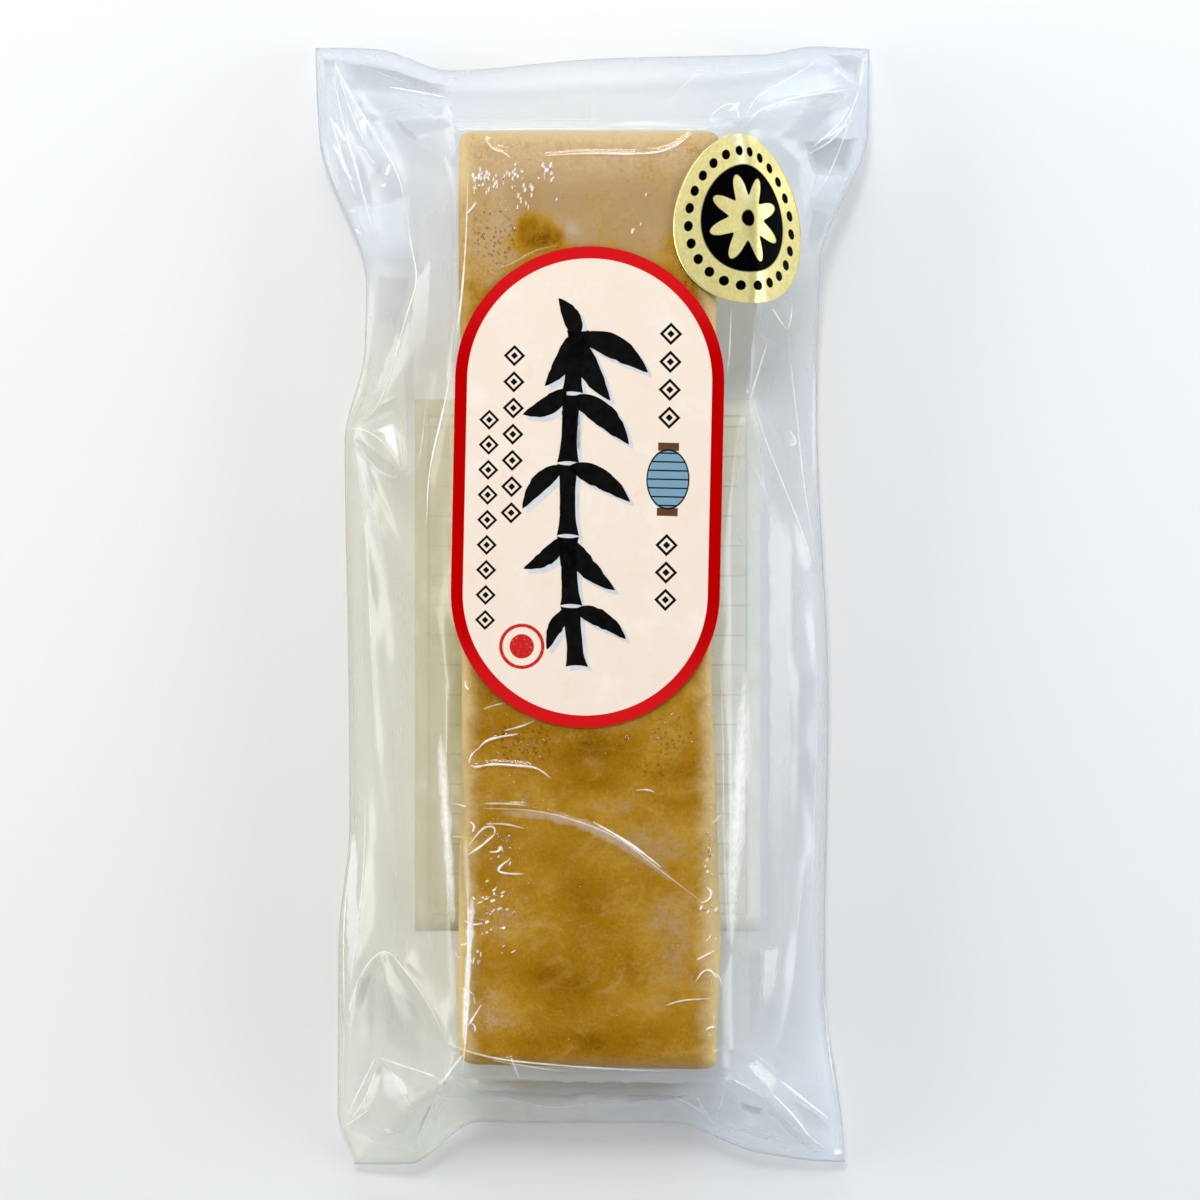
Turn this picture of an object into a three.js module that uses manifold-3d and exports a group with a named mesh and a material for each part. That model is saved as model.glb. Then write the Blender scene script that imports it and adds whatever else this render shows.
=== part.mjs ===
// A bar of eel fish cake lying in a clear sealed pouch, with its stickers.
// Millimetres. +X is across the bar, +Y along it, +Z up from the table.
// The origin is on the table, under the middle of the pouch.
import * as THREE from 'three';
import { mergeVertices } from 'three/addons/utils/BufferGeometryUtils.js';
import Module from 'manifold-3d';

// The bar inside the pouch
const BAR_LENGTH = 162;
const BAR_WIDTH = 45;
const BAR_HEIGHT = 26;
const BAR_X = -0.6;
const BAR_Y = 1.3;
const FILM_CROWN = 0.5;
const EDGE_ROUNDING = 1.1;

// The pouch before its edges are drawn in, as half sizes, and its real half size
const NOMINAL_X = 45;
const NOMINAL_Y = 98;
const POUCH_HALF_WIDTH = 50;
const POUCH_HALF_LENGTH = 100.7;

// How far each edge of the pouch lies from its middle line.
// The first number runs from -1 to 1 along the edge, the second is a distance.
const LEFT_EDGE = [
  [-1, 43], [-0.92, 46], [-0.62, 45.8], [-0.4, 43.8], [0.3, 44.7], [0.47, 41.1], [0.59, 40.8],
  [0.86, 49.3], [1, POUCH_HALF_WIDTH],
];
const RIGHT_EDGE = [
  [-1, 45.5], [-0.7, 41.9], [-0.2, 42.6], [0.35, 40.6], [0.62, 40.8], [0.87, 49.6],
  [1, POUCH_HALF_WIDTH],
];
const TOP_EDGE = [
  [-1, POUCH_HALF_LENGTH], [-0.8, 100.2], [-0.56, 96.1], [0, 97.8], [0.65, 99],
  [0.83, POUCH_HALF_LENGTH], [1, 100.5],
];
const BOTTOM_EDGE = [
  [-1, POUCH_HALF_LENGTH], [-0.75, 100.3], [-0.45, 92.4], [0.31, 92.4], [0.66, 98.2], [1, 100.3],
];

// Height of the pouch's rim above the table
const RIM_CORNER = 2.6;
const RIM_END_LIFT = 4.5;
const RIM_WAVE = 0.9;
const RIM_SEAL_LIFT = 5;

// The level film reaches further than the bar beside the gold seal.
// The first number is Y, the second is where the level film ends in +X.
const SHELF = [[-98, 21.9], [8, 21.9], [37, 26.4], [54, 29.2], [82, 24.6], [98, 23.5]];
const SLOPE_SAG = 0.25;
const SLOPE_STEPS = [0, 0.06, 0.13, 0.24, 0.36, 0.49, 0.62, 0.75, 0.88, 1];
const SEAL_BULGE = 0.7;

// Where the underside starts to lift off the table
const FLAT_HALF_WIDTH = 33.5;
const FLAT_HALF_LENGTH = 80;

// Stickers
const STICKER_THICKNESS = 0.3;
const STICKER_GAP = 0.35;
const LABEL_WIDTH = 46.3;
const LABEL_LENGTH = 82.7;
const LABEL_X = -0.8;
const LABEL_Y = 20.5;
const LABEL_TILT = THREE.MathUtils.degToRad(-1.2);
const SEAL_HALF_WIDTH = 13.2;
const SEAL_HALF_LENGTH = 14.6;
const SEAL_X = 27;
const SEAL_Y = 66.8;
const SEAL_TILT = THREE.MathUtils.degToRad(8);
const SEAL_TAPER = 0.14;
const SEAL_SLOPED_SHARE = 0.7;
const SEAL_GAP = 0.55;
const BACK_WIDTH = 62.6;
const BACK_LENGTH = 96.2;
const BACK_X = -0.9;
const BACK_Y = -10.7;
const BACK_MARGIN = 0.3;

// Folds of the film fan out from points where it is pinched.
// at: the pinch, aim and spread: degrees, reach: longest fold, rise: its height, width: its foot.
const FANS = [
  { at: [-44, 32.5], aim: 45, spread: 50, folds: 3, reach: 26, rise: 1.5, width: 4.5 },
  { at: [-44, 32.5], aim: -74, spread: 24, folds: 3, reach: 50, rise: 1.4, width: 4.5 },
  { at: [27, 37], aim: -66, spread: 26, folds: 2, reach: 34, rise: 1.6, width: 5 },
  { at: [-37, -61], aim: -80, spread: 110, folds: 3, reach: 20, rise: 1.4, width: 4.5 },
  { at: [-23.5, -80.5], aim: -142, spread: 36, folds: 3, reach: 28, rise: 1.6, width: 4.5 },
  { at: [22.4, -80], aim: -40, spread: 50, folds: 4, reach: 30, rise: 1.5, width: 4 },
  { at: [-24, 83], aim: 146, spread: 56, folds: 4, reach: 28, rise: 1.5, width: 4 },
  { at: [47.5, 93], aim: -166, spread: 62, folds: 4, reach: 28, rise: 1.6, width: 4 },
];

const clamp = THREE.MathUtils.clamp;
const smooth = THREE.MathUtils.smoothstep;

// A smooth curve through stations that never swings past them.
function alongStations(stations, at) {
  const last = stations.length - 1;
  const secant = (k) => (stations[k + 1][1] - stations[k][1]) / (stations[k + 1][0] - stations[k][0]);
  const slope = (k) => {
    if (k <= 0 || k >= last) return 0;
    const before = secant(k - 1);
    const after = secant(k);
    return before * after <= 0 ? 0 : (2 * before * after) / (before + after);
  };
  const x = clamp(at, stations[0][0], stations[last][0]);
  let k = 0;
  while (k < last - 1 && x > stations[k + 1][0]) k += 1;
  const step = stations[k + 1][0] - stations[k][0];
  const t = (x - stations[k][0]) / step;
  const rise = stations[k + 1][1] - stations[k][1];
  const bendIn = (slope(k) * step - rise) * t * (1 - t) * (1 - t);
  const bendOut = (rise - slope(k + 1) * step) * t * t * (1 - t);
  return stations[k][1] + rise * t + bendIn + bendOut;
}

// Where a nominal point of the pouch really lies, with the edges drawn in.
function pouchPlace(x, y) {
  const u = x / NOMINAL_X;
  const v = y / NOMINAL_Y;
  const side = alongStations(x < 0 ? LEFT_EDGE : RIGHT_EDGE, v) - NOMINAL_X;
  const end = alongStations(y < 0 ? BOTTOM_EDGE : TOP_EDGE, u) - NOMINAL_Y;
  const pullX = clamp((Math.abs(x) - BAR_WIDTH / 2 - 1.5) / (NOMINAL_X - BAR_WIDTH / 2 - 1.5), 0, 1);
  const pullY = clamp((Math.abs(y) - BAR_LENGTH / 2 - 2.5) / (NOMINAL_Y - BAR_LENGTH / 2 - 2.5), 0, 1);
  return [x + Math.sign(x) * side * pullX, y + Math.sign(y) * end * pullY];
}

// The nominal point whose real place is (x, y).
function nominalPlace(x, y) {
  const point = [x, y];
  for (let round = 0; round < 8; round += 1) {
    const place = pouchPlace(...point);
    point[0] += x - place[0];
    point[1] += y - place[1];
  }
  return point;
}

// 1 beside the gold seal on the right, falling to 0 a little above and below it.
function besideSeal(x, y) {
  return x > 0 ? Math.exp(-(((y - SEAL_Y) / 17) ** 2)) : 0;
}

// Height of the pouch's rim above the table at a nominal point.
function rimHeight(x, y) {
  const u = clamp(x / NOMINAL_X, -1, 1);
  const v = clamp(y / NOMINAL_Y, -1, 1);
  const ends = RIM_END_LIFT * (1 - u * u) * smooth(Math.abs(v), 0.6, 1);
  const sides = RIM_WAVE * Math.sin(7 * v + 1.5 * Math.sign(x)) * (1 - v * v);
  return RIM_CORNER + ends + sides + RIM_SEAL_LIFT * besideSeal(x, y);
}

// 0 on the level film over the bar, 1 at the rim, and the larger of the two ways at a corner.
function outwards(x, y) {
  const right = (x - alongStations(SHELF, y)) / (NOMINAL_X - alongStations(SHELF, y));
  const left = (BAR_X - BAR_WIDTH / 2 - x) / (NOMINAL_X + BAR_X - BAR_WIDTH / 2);
  const top = (y - BAR_Y - BAR_LENGTH / 2) / (NOMINAL_Y - BAR_Y - BAR_LENGTH / 2);
  const bottom = (BAR_Y - BAR_LENGTH / 2 - y) / (NOMINAL_Y + BAR_Y - BAR_LENGTH / 2);
  const across = clamp(Math.max(left, right), 0, 1);
  const along = clamp(Math.max(top, bottom), 0, 1);
  const blend = 0.16 * (across + along) * (1 - Math.max(across, along)) + 1e-6;
  const share = clamp(0.5 + (0.5 * (across - along)) / blend, 0, 1);
  return Math.min(1, along + (across - along) * share + blend * share * (1 - share));
}

// One fold, a long ridge from a pinch: highest part way along and wider further out.
function foldHeight(x, y, at, angle, reach, rise, width) {
  const dx = x - at[0];
  const dy = y - at[1];
  const t = (dx * Math.cos(angle) + dy * Math.sin(angle)) / reach;
  if (t <= 0 || t >= 1) return 0;
  const aside = Math.abs(dy * Math.cos(angle) - dx * Math.sin(angle));
  return rise * Math.sin(Math.PI * t ** 0.7) * Math.max(0, 1 - aside / (width * (0.3 + t)));
}

// All the folds of the fans together.
function foldsHeight(x, y) {
  let height = 0;
  for (const fan of FANS) {
    for (let k = 0; k < fan.folds; k += 1) {
      const angle = THREE.MathUtils.degToRad(fan.aim + fan.spread * ((k + 0.5) / fan.folds - 0.5));
      const reach = fan.reach * (1 - 0.3 * (k % 2));
      height += foldHeight(x, y, fan.at, angle, reach, fan.rise, fan.width);
    }
  }
  return height;
}

// The film's underside: flat under the bar, then curving up to the rim.
function undersideHeight(x, y) {
  const across = clamp((Math.abs(x) - FLAT_HALF_WIDTH) / (NOMINAL_X - FLAT_HALF_WIDTH), 0, 1);
  const along = clamp((Math.abs(y) - FLAT_HALF_LENGTH) / (NOMINAL_Y - FLAT_HALF_LENGTH), 0, 1);
  return rimHeight(x, y) * Math.max(across, along) ** 2;
}

// The film's upper side: a tent from the bar's top down to the rim, with folds on its slopes.
function filmHeight(x, y) {
  const m = outwards(x, y);
  const rim = rimHeight(x, y);
  const sag = SLOPE_SAG - SEAL_BULGE * besideSeal(x, y);
  const slope = rim + (BAR_HEIGHT + EDGE_ROUNDING - rim) * (1 - m * (1 + sag * (1 - m)));
  const crown = BAR_HEIGHT + FILM_CROWN * (1 - clamp((2 * (x - BAR_X)) / BAR_WIDTH, -1, 1) ** 2);
  const share = clamp(0.5 + (0.5 * (crown - slope)) / (2 * EDGE_ROUNDING), 0, 1);
  const tent = crown + (slope - crown) * share - 2 * EDGE_ROUNDING * share * (1 - share);
  const folds = foldsHeight(x, y) * smooth(m, 0, 0.15) * smooth(1 - m, 0, 0.2);
  return Math.max(tent + folds, undersideHeight(x, y) + 6 * (1 - m));
}

// Grid lines from one rim to the other: even steps over the bar, and SLOPE_STEPS down each slope.
// The same shares are used both ways, so that the film's corner creases run along the squares.
function gridStops(rim, middle, half, count) {
  const before = SLOPE_STEPS.map((share) => middle - half - (rim + middle - half) * share).reverse();
  const after = SLOPE_STEPS.map((share) => middle + half + (rim - middle - half) * share);
  const over = [];
  for (let k = 1; k < count; k += 1) over.push(middle - half + (2 * half * k) / count);
  return [...before, ...over, ...after];
}

// A closed skin from a grid of columns and rows: point(i, j) gives [x, y, low, high].
// Walls join the two sides round the rim, and vanish where low and high are the same.
// Each square is split along the line that points at the nearest corner of the grid.
function closedSkin(columns, rows, point) {
  const positions = [];
  for (const level of [2, 3]) {
    for (let j = 0; j <= rows; j += 1) {
      for (let i = 0; i <= columns; i += 1) {
        const p = point(i, j);
        positions.push(p[0], p[1], p[level]);
      }
    }
  }
  const low = (i, j) => j * (columns + 1) + i;
  const high = (i, j) => (rows + 1) * (columns + 1) + low(i, j);
  const faces = [];
  const quad = (a, b, c, d) => faces.push([a, b, c], [a, c, d]);
  for (let j = 0; j < rows; j += 1) {
    for (let i = 0; i < columns; i += 1) {
      const top = [high(i, j), high(i + 1, j), high(i + 1, j + 1), high(i, j + 1)];
      const base = [low(i, j), low(i, j + 1), low(i + 1, j + 1), low(i + 1, j)];
      if ((2 * i + 1 < columns) !== (2 * j + 1 < rows)) {
        top.push(top.shift());
        base.push(base.shift());
      }
      quad(...top);
      quad(...base);
    }
  }
  for (let i = 0; i < columns; i += 1) {
    quad(low(i, 0), low(i + 1, 0), high(i + 1, 0), high(i, 0));
    quad(low(i + 1, rows), low(i, rows), high(i, rows), high(i + 1, rows));
  }
  for (let j = 0; j < rows; j += 1) {
    quad(low(0, j + 1), low(0, j), high(0, j), high(0, j + 1));
    quad(low(columns, j), low(columns, j + 1), high(columns, j + 1), high(columns, j));
  }
  const geometry = new THREE.BufferGeometry();
  geometry.setAttribute('position', new THREE.Float32BufferAttribute(positions, 3));
  geometry.setIndex(faces.flat());
  return withoutEmptyFaces(mergeVertices(geometry));
}

// The same geometry without the faces that merging has closed up to a line.
function withoutEmptyFaces(geometry) {
  const index = geometry.index.array;
  const kept = [];
  for (let k = 0; k < index.length; k += 3) {
    const [a, b, c] = [index[k], index[k + 1], index[k + 2]];
    if (a !== b && b !== c && c !== a) kept.push(a, b, c);
  }
  geometry.setIndex(kept);
  return geometry;
}

// One solid with another cut out of it.
async function cut(geometry, tool) {
  const wasm = await Module();
  wasm.setup();
  const solid = (shape) => {
    const bare = shape.clone();
    bare.deleteAttribute('normal');
    bare.deleteAttribute('uv');
    const merged = mergeVertices(bare);
    return new wasm.Manifold(new wasm.Mesh({
      numProp: 3,
      vertProperties: new Float32Array(merged.attributes.position.array),
      triVerts: new Uint32Array(merged.index.array),
    }));
  };
  const mesh = solid(geometry).subtract(solid(tool)).simplify(0.01).getMesh();
  const result = new THREE.BufferGeometry();
  result.setAttribute('position', new THREE.Float32BufferAttribute(mesh.vertProperties, 3));
  result.setIndex([...mesh.triVerts]);
  return result;
}

// The pouch with all it holds, as one solid, with a shallow recess under it for the back label.
async function bagGeometry() {
  const xs = gridStops(NOMINAL_X, BAR_X, BAR_WIDTH / 2, 8);
  const ys = gridStops(NOMINAL_Y, BAR_Y, BAR_LENGTH / 2, 38);
  const columns = xs.length - 1;
  const rows = ys.length - 1;
  const skin = closedSkin(columns, rows, (i, j) => {
    const place = pouchPlace(xs[i], ys[j]);
    const rim = i === 0 || j === 0 || i === columns || j === rows;
    if (rim) return [...place, rimHeight(xs[i], ys[j]), rimHeight(xs[i], ys[j])];
    return [...place, undersideHeight(xs[i], ys[j]), filmHeight(xs[i], ys[j])];
  });
  const depth = STICKER_THICKNESS + BACK_MARGIN;
  const recess = new THREE.BoxGeometry(BACK_WIDTH + 2 * BACK_MARGIN, BACK_LENGTH + 2 * BACK_MARGIN, 2 * depth);
  recess.translate(BACK_X, BACK_Y, 0);
  return cut(skin, recess);
}

// A thin sticker laid on the film: outline(row) gives its [left, right, along] at that row.
// Its columns lie closer together towards its edges, where the film falls away.
function stickerGeometry(columns, rows, outline, centre, tilt, gap) {
  return closedSkin(columns, rows, (i, j) => {
    const [left, right, along] = outline(j / rows);
    const share = 0.5 - 0.5 * Math.cos((Math.PI * i) / columns);
    const across = left + (right - left) * share;
    const x = centre[0] + across * Math.cos(tilt) - along * Math.sin(tilt);
    const y = centre[1] + across * Math.sin(tilt) + along * Math.cos(tilt);
    const low = filmHeight(...nominalPlace(x, y)) + gap;
    return [x, y, low, low + STICKER_THICKNESS];
  });
}

// The long label with half-round ends.
function frontLabelGeometry() {
  const radius = LABEL_WIDTH / 2;
  const straight = LABEL_LENGTH / 2 - radius;
  const capShare = 0.3;
  return stickerGeometry(10, 30, (t) => {
    const fromEnd = Math.min(t, 1 - t);
    const turn = (Math.PI / 2) * clamp(1 - fromEnd / capShare, 0, 1);
    const half = radius * Math.cos(turn);
    const run = straight * clamp((0.5 - fromEnd) / (0.5 - capShare), 0, 1);
    return [-half, half, Math.sign(t - 0.5) * (run + radius * Math.sin(turn))];
  }, [LABEL_X, LABEL_Y], LABEL_TILT, STICKER_GAP);
}

// The egg-shaped gold seal, level on its left half and sloped down on its right half.
function goldSealGeometry() {
  return stickerGeometry(12, 16, (t) => {
    const turn = Math.PI * (t - 0.5);
    const half = SEAL_HALF_WIDTH * Math.cos(turn) * (1 - SEAL_TAPER * Math.sin(turn));
    return [-half, half * SEAL_SLOPED_SHARE, SEAL_HALF_LENGTH * Math.sin(turn)];
  }, [SEAL_X, SEAL_Y], SEAL_TILT, SEAL_GAP);
}

// The flat label on the underside.
function backLabelGeometry() {
  const label = new THREE.BoxGeometry(BACK_WIDTH, BACK_LENGTH, STICKER_THICKNESS);
  label.translate(BACK_X, BACK_Y, STICKER_THICKNESS / 2);
  return label;
}

function namedMesh(name, geometry, color, roughness, metalness) {
  geometry.computeVertexNormals();
  const mesh = new THREE.Mesh(geometry, new THREE.MeshStandardMaterial({ color, roughness, metalness }));
  mesh.name = name;
  return mesh;
}

const group = new THREE.Group();
group.add(namedMesh('bag', await bagGeometry(), 0xb59567, 0.25, 0));
group.add(namedMesh('front_label', frontLabelGeometry(), 0xf7e9d5, 0.7, 0));
group.add(namedMesh('gold_seal', goldSealGeometry(), 0xc6bc80, 0.3, 1));
group.add(namedMesh('back_label', backLabelGeometry(), 0xd5d6cb, 0.8, 0));

export default group;
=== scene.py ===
"""A bar of eel fish cake in a clear sealed pouch with its stickers, dressed round its solids.

Shapes are worked out in millimetres and become metres when a mesh is written.
+X is across the bar, +Y along it towards the end with the gold seal, +Z up.
"""

import math

import bpy
import numpy as np
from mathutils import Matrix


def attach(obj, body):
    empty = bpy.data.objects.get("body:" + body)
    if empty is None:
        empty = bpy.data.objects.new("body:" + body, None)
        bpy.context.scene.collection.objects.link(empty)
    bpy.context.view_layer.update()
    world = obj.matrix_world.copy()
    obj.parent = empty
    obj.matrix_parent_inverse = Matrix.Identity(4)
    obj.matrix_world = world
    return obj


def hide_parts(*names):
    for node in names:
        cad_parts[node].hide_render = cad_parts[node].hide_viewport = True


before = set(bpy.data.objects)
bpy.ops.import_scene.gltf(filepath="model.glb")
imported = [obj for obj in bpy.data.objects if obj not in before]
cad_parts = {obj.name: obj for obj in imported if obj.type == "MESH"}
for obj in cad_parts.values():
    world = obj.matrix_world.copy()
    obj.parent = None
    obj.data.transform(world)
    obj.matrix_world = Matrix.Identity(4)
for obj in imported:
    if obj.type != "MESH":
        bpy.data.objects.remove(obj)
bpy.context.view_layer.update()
MM = 0.001

# The bar and the film over it, as in the part's source
BAR_LENGTH = 162
BAR_WIDTH = 45
BAR_HEIGHT = 26
BAR_X = -0.6
BAR_Y = 1.3
FILM_CROWN = 0.5
EDGE_ROUNDING = 1.1

# The pouch before its edges are drawn in, as half sizes, and its real half size
NOMINAL_X = 45
NOMINAL_Y = 98
POUCH_HALF_WIDTH = 50
POUCH_HALF_LENGTH = 100.7

# How far each edge of the pouch lies from its middle line.
# The first number runs from -1 to 1 along the edge, the second is a distance.
LEFT_EDGE = [
    (-1, 43), (-0.92, 46), (-0.62, 45.8), (-0.4, 43.8), (0.3, 44.7), (0.47, 41.1), (0.59, 40.8),
    (0.86, 49.3), (1, POUCH_HALF_WIDTH),
]
RIGHT_EDGE = [
    (-1, 45.5), (-0.7, 41.9), (-0.2, 42.6), (0.35, 40.6), (0.62, 40.8), (0.87, 49.6),
    (1, POUCH_HALF_WIDTH),
]
TOP_EDGE = [
    (-1, POUCH_HALF_LENGTH), (-0.8, 100.2), (-0.56, 96.1), (0, 97.8), (0.65, 99),
    (0.83, POUCH_HALF_LENGTH), (1, 100.5),
]
BOTTOM_EDGE = [
    (-1, POUCH_HALF_LENGTH), (-0.75, 100.3), (-0.45, 92.4), (0.31, 92.4), (0.66, 98.2), (1, 100.3),
]

# Height of the pouch's rim above the table
RIM_CORNER = 2.6
RIM_END_LIFT = 4.5
RIM_WAVE = 0.9
RIM_SEAL_LIFT = 5

# Where the level film ends in +X, as (Y, distance), and how the slopes below it sag
SHELF = [(-98, 21.9), (8, 21.9), (37, 26.4), (54, 29.2), (82, 24.6), (98, 23.5)]
SLOPE_SAG = 0.25
SEAL_BULGE = 0.7

# Where the underside starts to lift off the table, and the film's level there
FLAT_HALF_WIDTH = 33.5
FLAT_HALF_LENGTH = 80
FILM_UNDER = 0.34

# Stickers
LABEL_WIDTH = 46.3
LABEL_LENGTH = 82.7
LABEL_X = -0.8
LABEL_Y = 20.5
LABEL_TILT = math.radians(-1.2)
LABEL_BORDER = 2.1
SEAL_HALF_WIDTH = 13.2
SEAL_HALF_LENGTH = 14.6
SEAL_X = 27
SEAL_Y = 66.8
SEAL_TILT = math.radians(8)
SEAL_TAPER = 0.14
SEAL_SLOPED_SHARE = 0.7
BACK_WIDTH = 62.6
BACK_LENGTH = 96.2
BACK_X = -0.9
BACK_Y = -10.7
BACK_HEIGHT = 0.25
BACK_THICKNESS = 0.2
STICKER_LIFT = 0.38
PAPER_THICKNESS = 0.14
SHADOW_SHIFT = 0.75
SHADOW_LIFT = 0.02
DRAWING_LIFT = 0.04

# How far the bar's skin lies under the film, and how far the faces of painted light and shade
# and the lines of light lie over it
BAR_GAP = 0.16
FACE_LIFT = 0.1
GLEAM_LIFT = 0.13

# Points along and across a line of light, round a bead, and the step between points on a face
GLEAM_ROWS = 25
GLEAM_COLUMNS = 5
BEAD_POINTS = 10
FACE_STEP = 0.5

# The camera's place in millimetres and its lens
CAMERA_PLACE = (1.36, 1.09, 500)
CAMERA_LENS = 82.7

# Folds of the film fan out from points where it is pinched: (X, Y) of the pinch, aim and spread in
# degrees, number of folds, longest reach, height, and width of the foot.
MAIN_FANS = [
    ((-44, 32.5), 45, 50, 3, 26, 1.5, 4.5),
    ((-44, 32.5), -74, 24, 3, 50, 1.4, 4.5),
    ((27, 37), -66, 26, 2, 34, 1.6, 5),
    ((-37, -61), -80, 110, 3, 20, 1.4, 4.5),
    ((-23.5, -80.5), -142, 36, 3, 28, 1.6, 4.5),
    ((22.4, -80), -40, 50, 4, 30, 1.5, 4),
    ((-24, 83), 146, 56, 4, 28, 1.5, 4),
    ((47.5, 93), -166, 62, 4, 28, 1.6, 4),
]
FINE_FANS = [
    ((-44, 32.5), -76, 30, 4, 46, 0.4, 2.6),
    ((-37, -61), -90, 120, 4, 18, 0.35, 2.2),
    ((-23, -80), -135, 60, 5, 26, 0.45, 2.2),
    ((22.4, -80.5), -45, 80, 6, 28, 0.4, 2.2),
    ((-24, 83), 140, 70, 5, 28, 0.4, 2.4),
    ((47.5, 93), -160, 80, 6, 30, 0.45, 2.2),
    ((24.6, 83.5), 40, 50, 4, 26, 0.4, 2.2),
]

# Single folds of the film: height, width of the foot to the left and to the right of the line,
# radius of its top, how bright the painted highlight along its crest is, and the line as X, Y,
# X, Y and so on.
LEFT_FOLDS = [
    (1.3, 4, 4.5, 2.0, 0.1, -28.4, 27, -27.7, 8, -26.7, -7.6, -25.8, -23, -24.8, -38, -24, -60),
    (0.9, 4.5, 3, 0.2, 0.7, -32.6, 70.3, -32, 63.7, -30.4, 57.3, -32.5, 51.9, -35.5, 41.5),
    (0.8, 3, 4, 0.3, 0.4, -32.5, 51.9, -34, 46.7, -35.5, 41.5, -38, 35, -41, 33.1, -44.2, 32.3),
    (1.3, 5, 2.5, 0.3, 0.5, -44.2, 32.3, -39, 30.9, -35.5, 27.5, -33, 23.5),
    (1.0, 2.5, 5, 0.3, 0.4, -44.2, 32.3, -39.3, 25, -36, 22.8, -33.2, 22.6),
    (0.9, 3, 3, 0.3, 0.4, -38.8, 31.1, -34.1, 32.2, -33.2, 24),
    (0.9, 5, 3, 0.5, 0.3, -44.2, 31.7, -40.6, 18.9, -39.4, -6.1, -38.3, -27.5),
    (0.9, 4, 4, 0.5, 0.3, -33.2, 22.8, -30.1, 24.7, -29.4, 30.8, -28.2, 39.4),
    (0.9, 4, 6, 0.7, 0.2, -33.2, 22.6, -31.6, 8.1, -30.6, -16.4, -28.6, -37.3),
    (0.8, 4, 6, 0.6, 0.2, -41.3, 8.3, -39.5, -16.8, -36.9, -39.8, -33.9, -51.8),
    (0.8, 6, 3, 0.6, 0.2, -36.9, 1.1, -34.4, -23.7, -32, -44.6, -31.1, -60.2),
    (0.7, 3, 5, 0.5, 0.2, -43.3, 22.7, -41.8, -2.5, -40.6, -27.6, -39.8, -43.6),
    (1.1, 3, 4, 0.8, 0.5, -40.4, -32, -40.9, -49.1, -42.2, -58.1, -43.4, -68),
    (0.6, 2, 2, 0.3, 0.7, -44.2, -50, -44.9, -60, -44.6, -73.6),
    (1.0, 4, 2, 0.4, 0.5, -44.2, -73.6, -41.6, -65.5, -36.8, -60, -32.9, -63.6, -28.5, -68.4, -25.2, -74.8),
    (-0.8, 4, 5, 0.8, 0.1, -35, 62, -37.5, 52, -36, 44),
]
RIGHT_FOLDS = [
    (0.8, 2, 2, 0.2, 0.6, 30.6, 52.3, 32.4, 50.3, 34.3, 48.2),
    (0.8, 2, 2, 0.2, 0.6, 35.1, 53.5, 35, 50.8, 34.3, 48.2),
    (0.8, 5, 3, 0.2, 0.5, 34.3, 48.4, 36.6, 33.3, 37.7, 22.6, 40, 8.3),
    (1.4, 4, 4, 0.5, 0.6, 30.6, 46.3, 28.6, 40.1, 27.2, 35.8),
    (1.4, 5, 4, 0.5, 0.6, 27.2, 37.2, 30.1, 29, 34.2, 20.6, 37.7, 12.7, 39.6, 6),
    (0.7, 1.6, 1.6, 0.2, 0.7, 35, 31.3, 36.6, 29.1, 35.2, 28.5),
    (0.5, 2, 2, 0.2, 0.5, 23.9, 51, 23.7, 44.1, 23, 37.6),
    (0.5, 1.6, 2, 0.2, 0.5, 22.4, 35.5, 22.2, 18.3, 21.5, -5.8),
    (0.5, 1.6, 2, 0.2, 0.4, 22, -8, 22.6, -24, 22.6, -40, 23.4, -58),
    (1.6, 5, 4.5, 2.6, 0.1, 28.4, 2, 27.9, -14, 27.3, -28, 26.4, -38, 25.3, -47, 24.6, -60),
    (0.9, 4, 6, 0.6, 0.2, 31.3, -2, 31.7, -27.1, 30.2, -48.1, 28.9, -62),
    (0.9, 6, 4, 0.6, 0.2, 35.1, 8.2, 37.1, -16.8, 36.2, -40, 34.2, -61.1),
    (0.7, 4, 4, 0.5, 0.3, 39.4, 4, 40.3, -24.1, 39.5, -45.7, 39.1, -63.5),
    (0.9, 3, 4, 0.5, 0.2, 24.7, -54, 25.1, -68.2, 24.3, -77),
    (0.9, 4, 3, 0.5, 0.2, 28.9, -60, 27.9, -70.5, 25.4, -78),
    (0.9, 3, 4, 0.5, 0.2, 31.8, -81, 35.7, -70.1, 36.7, -58),
    (0.6, 2, 2, 0.3, 0.6, 41.6, -69, 42.6, -80, 43.9, -88),
    (-0.7, 5, 5, 0.9, 0.1, 40, 44, 39.3, 30, 39.8, 16),
]
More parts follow.
